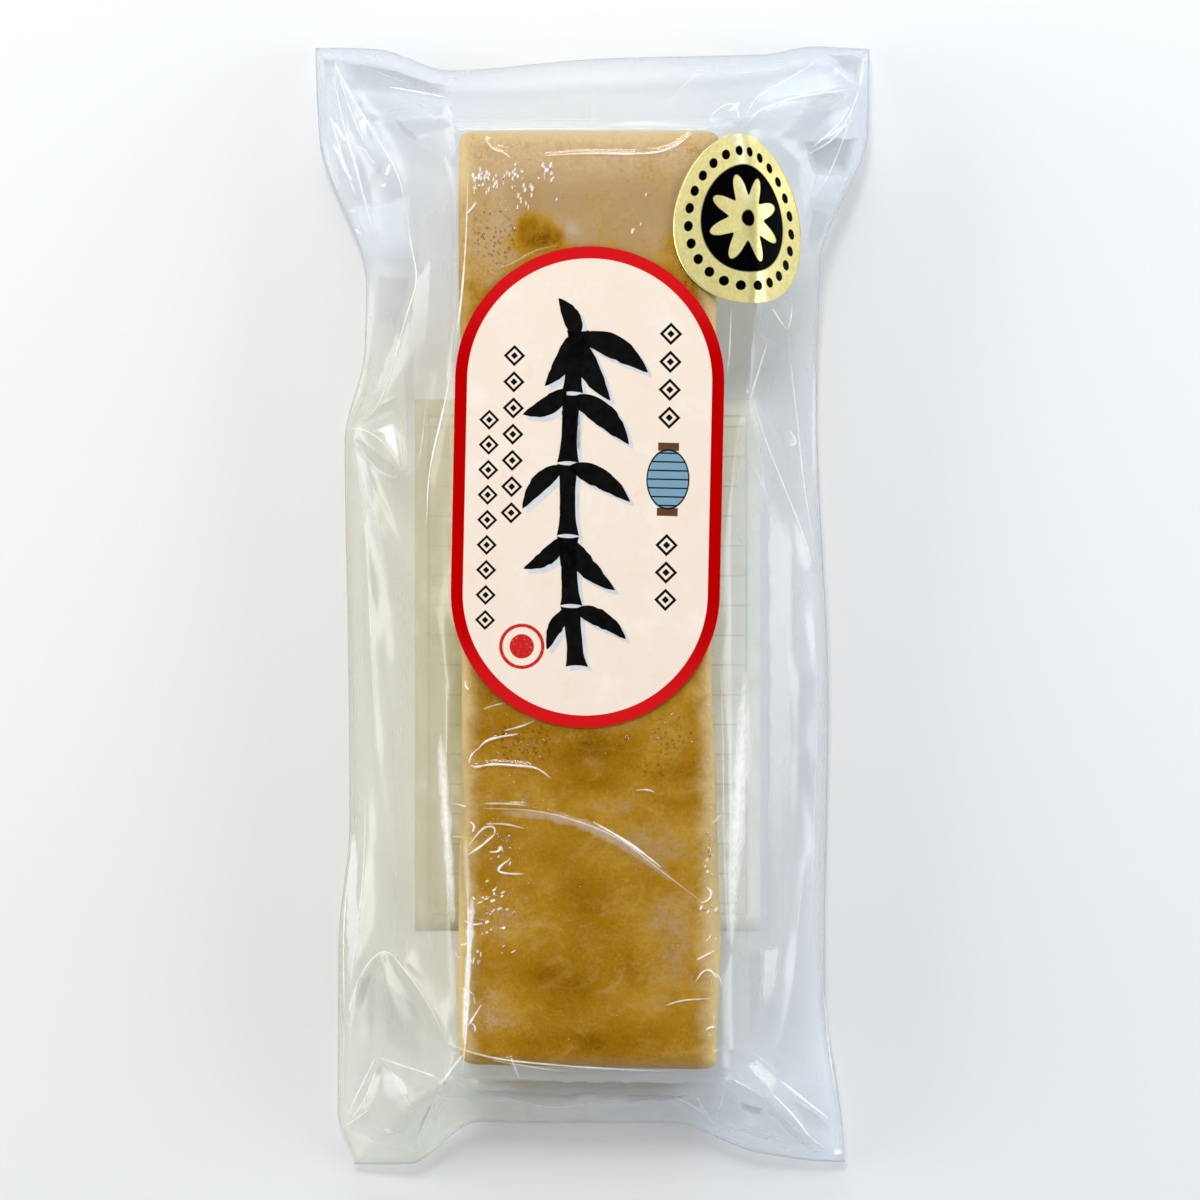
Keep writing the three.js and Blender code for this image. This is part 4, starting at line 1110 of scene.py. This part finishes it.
class Look:
    """One material, or the sky, with the node tree that it is worked out in."""

    def __init__(self, name, sky=None):
        self.material = sky or bpy.data.materials.new(name)
        self.ending = "ShaderNodeOutputWorld" if sky else "ShaderNodeOutputMaterial"
        self.material.use_nodes = True
        self.tree = self.material.node_tree
        self.tree.nodes.clear()

    def add(self, kind, settings=None, inputs=None, output=0):
        """A new node: its settings are set first, then its inputs by number or name."""
        node = self.tree.nodes.new(kind)
        for name, value in (settings or {}).items():
            setattr(node, name, value)
        for key, value in (inputs or {}).items():
            if isinstance(value, Value):
                self.tree.links.new(value.socket, node.inputs[key])
            else:
                node.inputs[key].default_value = value
        return Value(self, node.outputs[output])

    def finish(self, shader):
        """Puts a shader on the surface and gives the material back."""
        output = self.tree.nodes.new(self.ending)
        self.tree.links.new(shader.socket, output.inputs["Surface"])
        return self.material

    def place(self):
        """The point on the object in millimetres, as a vector."""
        where = self.add("ShaderNodeTexCoord", output=3)
        return self.add("ShaderNodeVectorMath", {"operation": "SCALE"}, {0: where, "Scale": 1 / MM})

    def flat_place(self):
        """The point on a sticker's flat sheet in millimetres, as a vector."""
        return self.add("ShaderNodeUVMap", {"uv_map": "flat"})

    def parts(self, vector):
        """The X, Y and Z of a vector."""
        node = self.add("ShaderNodeSeparateXYZ", inputs={0: vector}).socket.node
        return [Value(self, socket) for socket in node.outputs]

    def noise(self, vector, size, detail=3.0, roughness=0.55, distortion=0.0):
        """Cloudy noise from 0 to 1 whose clouds are about size millimetres wide."""
        return self.add("ShaderNodeTexNoise", inputs={
            "Vector": vector, "Scale": 1 / size, "Detail": detail, "Roughness": roughness,
            "Distortion": distortion})

    def cells(self, vector, size, feature="F1", randomness=1.0):
        """Distance from scattered points, or from the borders between them."""
        return self.add("ShaderNodeTexVoronoi", {"feature": feature}, {
            "Vector": vector, "Scale": 1 / size, "Randomness": randomness})

    def stretched(self, vector, x, y, z):
        """A vector with each axis scaled by its own number."""
        return self.add("ShaderNodeVectorMath", {"operation": "MULTIPLY"}, {0: vector, 1: (x, y, z)})

    def blend(self, share, first, second):
        """first where share is 0, second where it is 1, for colours."""
        return self.add("ShaderNodeMix", {"data_type": "RGBA"}, {0: share, 6: first, 7: second}, 2)

    def value(self, name):
        """A number stored on the piece's points."""
        return self.add("ShaderNodeAttribute", {"attribute_name": name}, output=2)

    def bump(self, height, distance, strength=1.0):
        """A normal from a height in millimetres."""
        return self.add("ShaderNodeBump", inputs={
            "Height": height, "Distance": distance * MM, "Strength": strength})

    def mixed(self, share, first, second):
        """first where share is 0, second where it is 1, for shaders."""
        return self.add("ShaderNodeMixShader", inputs={0: share, 1: first, 2: second})


def film_look():
    """Clear film: see-through where it clings wet to the bar, a little milky elsewhere and white
    at its rim, with a gloss that grows at a glancing angle. The milk is partly lit from behind,
    and it takes the painted light and shade stored on the film's points. Both the milk and the
    clear part are painted warmer at the lower left than elsewhere, for the colour of the light."""
    look = Look("clear_film")
    at = look.place()
    x, y, _ = look.parts(at)
    crinkle = look.noise(at, 4.0, 1.0, 0.5)
    rim, haze_and_painted_light = look.value("rim"), look.value("haze_and_painted_light")
    slope, wet = look.value("slope"), look.value("wet")
    normal = look.bump(crinkle * (0.12 + 0.4 * slope), 0.35, 0.6)
    dry = (1.0 - slope) * (1.0 - wet.step(-0.1, 0.25))
    end = (1.9 - abs(abs(y - BAR_Y) - BAR_LENGTH / 2 - 0.3)).step(0.0, 1.9)
    end = end * (25.5 - abs(x - BAR_X)).step(0.0, 4.0) * (0.2 + 0.8 * y.step(-10.0, 10.0))
    # The milk also carries the painted light and shade stored on the film's points.
    milk = 0.001 + dry * 0.045 + slope * 0.2 + haze_and_painted_light + end * 0.34 + rim * 0.4
    # Painted colour of the light: warmer at the lower left, cooler at the right and at the top end.
    cool_light_share = x.step(-25.0, 10.0).most(y.step(35.0, 65.0))
    clears, milks = [], []
    warm_light_tints = tint(248, 249, 245), tint(247, 250, 243)
    cool_light_tints = tint(249, 251, 255), tint(240, 247, 255)
    for clear, milky in (warm_light_tints, cool_light_tints):
        front = look.add("ShaderNodeBsdfDiffuse", inputs={"Color": milky, "Normal": normal})
        behind = look.add("ShaderNodeBsdfTranslucent", inputs={"Color": milky, "Normal": normal})
        clears.append(look.add("ShaderNodeBsdfTransparent", inputs={"Color": clear}))
        milks.append(look.mixed(0.35, front, behind))
    plain = look.add("ShaderNodeBsdfTransparent", inputs={"Color": tint(254, 255, 255)})
    clear = look.mixed(slope, plain, look.mixed(cool_light_share, *clears))
    body = look.mixed(milk.most(0.0), clear, look.mixed(cool_light_share, *milks))
    facing = look.add("ShaderNodeLayerWeight", inputs={"Blend": 0.5, "Normal": normal}, output=1)
    gloss = look.add("ShaderNodeBsdfGlossy", inputs={
        "Roughness": 0.09 + 0.19 * slope, "Normal": normal})
    return look.finish(look.mixed(0.016 + 0.05 * slope + 0.6 * facing**5, body, gloss))


def gleam_look(name, colour, broken=False):
    """A line or face of light or shade on the film: its colour shows where the piece's own gleam
    is high, it is clear elsewhere, and lines of light are a little broken."""
    look = Look(name)
    share = look.value("gleam")
    if broken:
        share = share * (0.55 + 0.8 * look.noise(look.place(), 1.2, 1.0, 0.5))
    clear = look.add("ShaderNodeBsdfTransparent", inputs={"Color": tint(255, 255, 255)})
    shown = look.add("ShaderNodeBsdfDiffuse", inputs={"Color": colour})
    return look.finish(look.mixed(share.least(1.0), clear, shown))


def fish_cake_look():
    """Steamed fish paste: deep honey where the film clings wet to it, through a lighter brown to
    pale tan where there is air between them, with fine grain, small bubbles and pitted places
    whose pits are darkened with painted shade. Its edges and ends are paler, partly as its own
    paler skin and partly as a painted highlight on their rounded turn, most at the top end and
    least of all beside the long label. Away from the top end its tan is darkened by painted shade,
    less so at the left."""
    look = Look("fish_cake")
    at = look.place()
    x, y, z = look.parts(at)
    wet, pitted = look.value("wet"), look.value("pitted")
    grain = look.noise(at, 0.55, 3.0, 0.75)
    mottle = look.noise(at, 1.5, 5.0, 0.7)
    speck = look.noise(at, 4.0, 5.0, 0.7, 0.4)
    cloud = look.noise(at, 10.0, 4.0, 0.6, 0.8)
    level = wet + (cloud - 0.5) * 0.45 + (speck - 0.5) * 0.6
    level = level + (mottle - 0.5) * 1.05 + (grain - 0.5) * 0.8
    tan = look.blend(mottle.step(0.3, 0.7), tint(196, 162, 116), tint(214, 186, 144))
    shade = y.step(79.5, 70.0) * (0.45 + 0.45 * x.step(-19.0, -9.0))
    tan = look.blend(shade, tan, tint(174, 139, 92))
    brown = look.blend(speck.step(0.3, 0.7), tint(164, 117, 14), tint(186, 142, 48))
    honey = look.blend(mottle.step(0.35, 0.65), tint(142, 95, 0), tint(162, 113, 4))
    skin = look.blend(level.step(0.0, 0.5), tan, brown)
    skin = look.blend(level.step(0.4, 1.1), skin, honey)
    skin = look.blend(level.step(1.0, 1.5), skin, tint(120, 79, 0))
    veil = look.noise(look.stretched(at, 1.0, 1.5, 1.0), 8.0, 5.0, 0.72, 1.0)
    skin = look.blend(veil.step(0.5, 0.72) * 0.3, skin, tint(206, 168, 104))
    # Paler edges and ends: partly the skin's own paler rim and partly painted highlight on the rounded
    # edges, strongest at the top end and weak on the left beside the long label.
    edge = (abs(x + 0.7) + (speck - 0.5) * 4.0).step(17.8, 22.4)
    edge = edge * (1.0 - 0.75 * x.step(-10.0, -18.0) * y.step(24.0, 44.0) * y.step(76.0, 68.0))
    ends = (abs(y - BAR_Y) + (speck - 0.5) * 2.0).step(78.0, 81.0)
    edge = edge.most(ends * (0.3 + 0.7 * y.step(-10.0, 10.0)))
    skin = look.blend(edge * 0.8, skin, tint(218, 196, 146))
    # Pits: sunk by the bump and darkened with painted shade.
    bubbles = look.cells(at, 0.8)
    pocked = (pitted + (speck - 0.5) * 1.4).step(0.35, 0.75)
    shaded_pit = (0.3 + (grain - 0.5) * 0.4 - bubbles).step(-0.08, 0.08) * pocked
    skin = look.blend(shaded_pit * 0.42, skin, tint(92, 58, 6))
    normal = look.bump(grain * 0.35 + speck * 0.6 - shaded_pit * 0.5, 0.3, 0.7)
    return look.finish(look.add("ShaderNodeBsdfPrincipled", inputs={
        "Base Color": skin, "Roughness": 0.7 - 0.2 * wet.step(0.2, 0.8), "Normal": normal,
        "Specular IOR Level": 0.05, "Subsurface Weight": 0.1, "Subsurface Scale": 0.003,
        "Subsurface Radius": (1.0, 0.6, 0.25)}))


def drop_look():
    """Juice in beads: clear, with a sharp shine all over."""
    look = Look("clear_beads")
    facing = look.add("ShaderNodeLayerWeight", inputs={"Blend": 0.5}, output=1)
    clear = look.add("ShaderNodeBsdfTransparent", inputs={"Color": tint(255, 252, 246)})
    shine = look.add("ShaderNodeBsdfGlossy", inputs={"Roughness": 0.12})
    return look.finish(look.mixed(0.2 + 0.7 * facing**2, clear, shine))


def paper_clouds(look, at, base, pale, warm):
    """Soft handmade paper: a base colour with pale and warm clouds and short fibres, and the
    height of its surface."""
    cloud = look.noise(at, 9.0, 4.0, 0.6)
    other = look.noise(look.stretched(at, 1.0, 1.0, 3.0), 6.0, 3.0, 0.6, 0.5)
    fibre = look.noise(look.stretched(at, 2.6, 0.5, 1.0), 1.0, 4.0, 0.75)
    colour = look.blend(cloud.step(0.48, 0.72) * 0.7, base, pale)
    colour = look.blend(other.step(0.55, 0.75) * 0.5, colour, warm)
    return colour, fibre + 0.5 * cloud


def label_look():
    """The long label: cream paper in a red border, with columns of diamond outlines, a small
    paper lantern with ribs, and a red ring round a dot."""
    look = Look("label_paper")
    at = look.flat_place()
    x, y, _ = look.parts(at)
    paper, relief = paper_clouds(look, at, tint(236, 220, 204), tint(240, 230, 217), tint(240, 207, 191))
    straight, radius = LABEL_LENGTH / 2 - LABEL_WIDTH / 2, LABEL_WIDTH / 2
    beyond = (abs(y) - straight).most(0.0)
    inside = radius - (x * x + beyond * beyond).math("SQRT")

    def column(at_x, first, count, pitch, half):
        """Diamond outlines one above the other, each with a diamond dot in it."""
        far = abs(x - at_x) + (y - first).repeat(pitch)
        marks = (0.17 * half - abs(far - 0.83 * half)).step(-0.06, 0.06)
        marks = marks.most((0.34 * half - far).step(-0.06, 0.06))
        middle = first + (count - 1) * pitch / 2
        return marks * (count * pitch / 2 - abs(y - middle)).step(0.0, 0.05)

    lantern_x, lantern_y = 13.8, 1.6
    marks = column(lantern_x, 12.2, 4, 4.8, 1.95).most(column(lantern_x, -19.1, 3, 4.7, 1.95))
    marks = marks.most(column(-13.0, -4.7, 7, 4.5, 1.85)).most(column(-17.1, -23.2, 9, 4.3, 1.75))
    u, v = abs(x - lantern_x), abs(y - lantern_y)
    round_off = 1.0 - (u / 3.7) ** 2.0 - (v / 5.2) ** 2.0
    lantern = round_off.step(-0.04, 0.04)
    ribs = lantern * (0.13 - (y - lantern_y).repeat(1.5)).step(-0.06, 0.06)
    ribs = ribs.most(lantern * (0.12 - round_off).step(-0.04, 0.04))
    caps = (1.8 - u).step(-0.06, 0.06) * (0.7 - abs(v - 5.6)).step(-0.06, 0.06)
    dot_x, dot_y, dot_radius, ring_radius = -10.7, -27.6, 2.1, 3.6
    u, v = x - dot_x, y - dot_y
    far = (u * u + v * v).math("SQRT")
    red_dot = (0.3 - abs(far - ring_radius)).step(-0.06, 0.06)
    red_dot = red_dot.most((dot_radius - far).step(-0.06, 0.06))
    red_dot = red_dot * (look.noise(at, 0.5) + 0.55).least(1.0)
    colour = look.blend(lantern, paper, tint(120, 156, 176))
    colour = look.blend(caps, colour, tint(96, 62, 40))
    colour = look.blend(marks.most(ribs), colour, tint(17, 15, 15))
    colour = look.blend(red_dot, colour, tint(196, 34, 34))
    weave = (x * 11.0).sine() * (y * 11.0).sine()
    colour = look.blend(weave.step(0.2, 0.9) * 0.035, colour, tint(150, 120, 100))
    border = (LABEL_BORDER - inside).step(-0.06, 0.06)
    red = look.blend(abs(y).step(20.0, 38.0), tint(178, 0, 1), tint(205, 23, 27))
    colour = look.blend(border, colour, red)
    return look.finish(look.add("ShaderNodeBsdfPrincipled", inputs={
        "Base Color": colour, "Roughness": 0.6, "Specular IOR Level": 0.0,
        "Normal": look.bump(relief, 0.05, 0.5)}))


def ink_look(name, colour, other):
    """Printed ink, a little uneven."""
    look = Look(name)
    at = look.place()
    uneven = look.noise(at, 1.5, 3.0, 0.6)
    return look.finish(look.add("ShaderNodeBsdfPrincipled", inputs={
        "Base Color": look.blend(uneven.step(0.3, 0.7), colour, other), "Roughness": 0.45,
        "Specular IOR Level": 0.02, "Normal": look.bump(uneven, 0.02, 0.4)}))


def gold_look():
    """Gold foil with a closed ring of black dots, a black oval inside it that holds a gold flower
    of eight petals, and a painted highlight: a pale, less metallic line where the foil is folded
    over the bar's edge."""
    look = Look("gold_foil")
    at = look.flat_place()
    x, y, _ = look.parts(at)
    up = y / SEAL_HALF_LENGTH
    side = x / SEAL_HALF_WIDTH / (1 - SEAL_TAPER * up)
    out = (up * up + side * side).math("SQRT")
    turn = side.math("ARCTAN2", -up)
    from_dot = (turn.repeat(math.pi / 12) * 13.0) ** 2.0 + ((out - 0.8) * 17.0) ** 2.0
    dots = (1.0 - from_dot).step(-0.15, 0.15)
    oval = (0.64 - out).step(-0.012, 0.012)
    petals = 0.4 + 0.13 * (turn * 8.0).sine()
    flower = (petals - out).step(-0.012, 0.012) * (out - 0.1).step(-0.012, 0.012)
    black = dots.most(oval * (1.0 - flower))
    brushed = look.noise(at, 0.7, 3.0, 0.7)
    worn = look.noise(at, 6.0, 3.0)
    gold = look.blend(brushed.step(0.3, 0.7), tint(226, 213, 142), tint(238, 227, 160))
    gold = look.blend(worn.step(0.45, 0.75) * 0.5, gold, tint(204, 190, 118))
    # Painted highlight along the fold: paler gold, and less metallic.
    sheen = (1.9 - abs(x - 0.4)).step(0.0, 1.9) * y.step(0.0, 7.0)
    sheen = sheen.most((0.9 - abs(x - 1.2)).step(0.0, 0.9) * y.step(-7.0, -10.0))
    gold = look.blend(sheen * 0.85, gold, tint(255, 254, 216))
    colour = look.blend(black, gold, tint(1, 1, 3))
    metal = (1.0 - black) * (0.6 - 0.5 * sheen)
    return look.finish(look.add("ShaderNodeBsdfPrincipled", inputs={
        "Base Color": colour, "Metallic": metal, "Specular IOR Level": 0.02,
        "Roughness": 0.3 + 0.12 * brushed,
        "Normal": look.bump(brushed * 0.4 + worn * 2.0, 0.05, 0.5)}))


def back_look():
    """Plain cream paper with a thin ruled table. Its colour is darker and yellower towards the left
    with painted shade, and paler towards the right with painted light.
    """
    look = Look("back_paper")
    at = look.flat_place()
    x, y, _ = look.parts(at)
    # Painted shade at the left of the sheet and painted light at its right.
    base = look.blend(x.step(-22.0, 22.0), tint(202, 194, 156), tint(244, 244, 232))
    paper, relief = paper_clouds(look, at, base, tint(228, 224, 204), tint(214, 206, 176))
    rows = (0.16 - y.repeat(5.4)).step(-0.08, 0.08)
    columns = (0.16 - (x + 8.0).repeat(21.0)).step(-0.08, 0.08)
    frame_line = (BACK_WIDTH / 2 - 2.5 - abs(x)).least(BACK_LENGTH / 2 - 3.0 - abs(y))
    lines = rows.most(columns) * frame_line.step(0.0, 0.1)
    lines = lines.most((0.22 - abs(frame_line)).step(-0.08, 0.08))
    colour = look.blend(lines * 0.24, paper, tint(120, 120, 116))
    return look.finish(look.add("ShaderNodeBsdfPrincipled", inputs={
        "Base Color": colour, "Roughness": 0.7, "Specular IOR Level": 0.2,
        "Normal": look.bump(relief, 0.03, 0.4)}))


def floor_look():
    """A plain pale matt floor."""
    look = Look("floor")
    return look.finish(look.add("ShaderNodeBsdfPrincipled", inputs={
        "Base Color": tint(233, 234, 235), "Roughness": 0.9, "Specular IOR Level": 0.05}))


def studio_floor():
    """A wide level floor that the pack lies on."""
    size = 6.0
    mesh = bpy.data.meshes.new("floor")
    corners = [(-size, -size, 0), (size, -size, 0), (size, size, 0), (-size, size, 0)]
    mesh.from_pydata(corners, [], [(0, 1, 2, 3)])
    mesh.materials.append(floor_look())
    floor = bpy.data.objects.new("floor", mesh)
    bpy.context.scene.collection.objects.link(floor)


def area_light(name, azimuth, elevation, distance, width, height, power, colour=(1, 1, 1)):
    """A rectangular light that looks at the middle of the pouch. Azimuth 0 is +X, 90 is +Y."""
    data = bpy.data.lights.new(name, "AREA")
    data.shape = "RECTANGLE"
    data.size, data.size_y, data.energy, data.color = width, height, power, colour
    light = bpy.data.objects.new(name, data)
    a, e = math.radians(azimuth), math.radians(elevation)
    light.location = (distance * math.cos(e) * math.cos(a), distance * math.cos(e) * math.sin(a),
                      distance * math.sin(e))
    light.rotation_euler = (math.pi / 2 - e, 0, a + math.pi / 2)
    bpy.context.scene.collection.objects.link(light)


def studio():
    """A soft light above the top end, tall soft boxes low at both sides and beyond that end, an
    even sky that is darker straight above, and the camera straight above."""
    area_light("key", 100, 58, 0.9, 0.26, 0.2, 3.2)
    area_light("left", 180, 22, 0.8, 0.6, 0.42, 4.0, (1.0, 0.97, 0.92))
    area_light("right", -4, 22, 0.8, 0.6, 0.42, 4.0, (0.93, 0.97, 1.0))
    area_light("end", 90, 24, 0.8, 0.5, 0.3, 2.4, (0.93, 0.97, 1.0))
    world = bpy.data.worlds.new("studio")
    sky = Look("sky", world)
    up = sky.parts(sky.add("ShaderNodeTexCoord"))[2]
    light = 0.05 + 0.34 * up.step(0.97, 0.6)
    sky.finish(sky.add("ShaderNodeBackground", inputs={"Color": tint(244, 249, 255), "Strength": light}))
    bpy.context.scene.world = world
    bpy.context.scene.view_settings.view_transform = "Standard"
    camera = bpy.data.cameras.new("camera")
    camera.lens = CAMERA_LENS
    holder = bpy.data.objects.new("camera", camera)
    holder.location = [distance * MM for distance in CAMERA_PLACE]
    bpy.context.scene.collection.objects.link(holder)
    bpy.context.scene.camera = holder


studio()
studio_floor()
pouch_film(film_look())
# Painted highlights, reflections, shade and shadow laid on the film.
facets("highlight_faces", HIGHLIGHT_FACES, gleam_look("highlight_film_look", tint(250, 252, 250)))
facets("reflection_faces", REFLECTION_FACES, gleam_look("reflection_film_look", tint(236, 246, 255)))
facets("shade_faces", SHADE_FACES, gleam_look("shade_film_look", tint(154, 157, 164)))
facets("shadow_faces", SHADOW_FACES, gleam_look("shadow_film_look", tint(132, 112, 74)))
gleams(gleam_look("white_gleam", tint(255, 255, 253), broken=True))
fish_cake(fish_cake_look())
moisture(drop_look())
front_sticker(label_look())
label_ink("ink_shadow", ink_look("grey_ink", tint(198, 203, 208), tint(210, 213, 216)),
          SHADOW_SHIFT, -SHADOW_SHIFT, SHADOW_LIFT)
label_ink("ink_drawing", ink_look("black_ink", tint(8, 8, 8), tint(18, 17, 17)), 0, 0, DRAWING_LIFT)
gold_sticker(gold_look())
back_sticker(back_look())
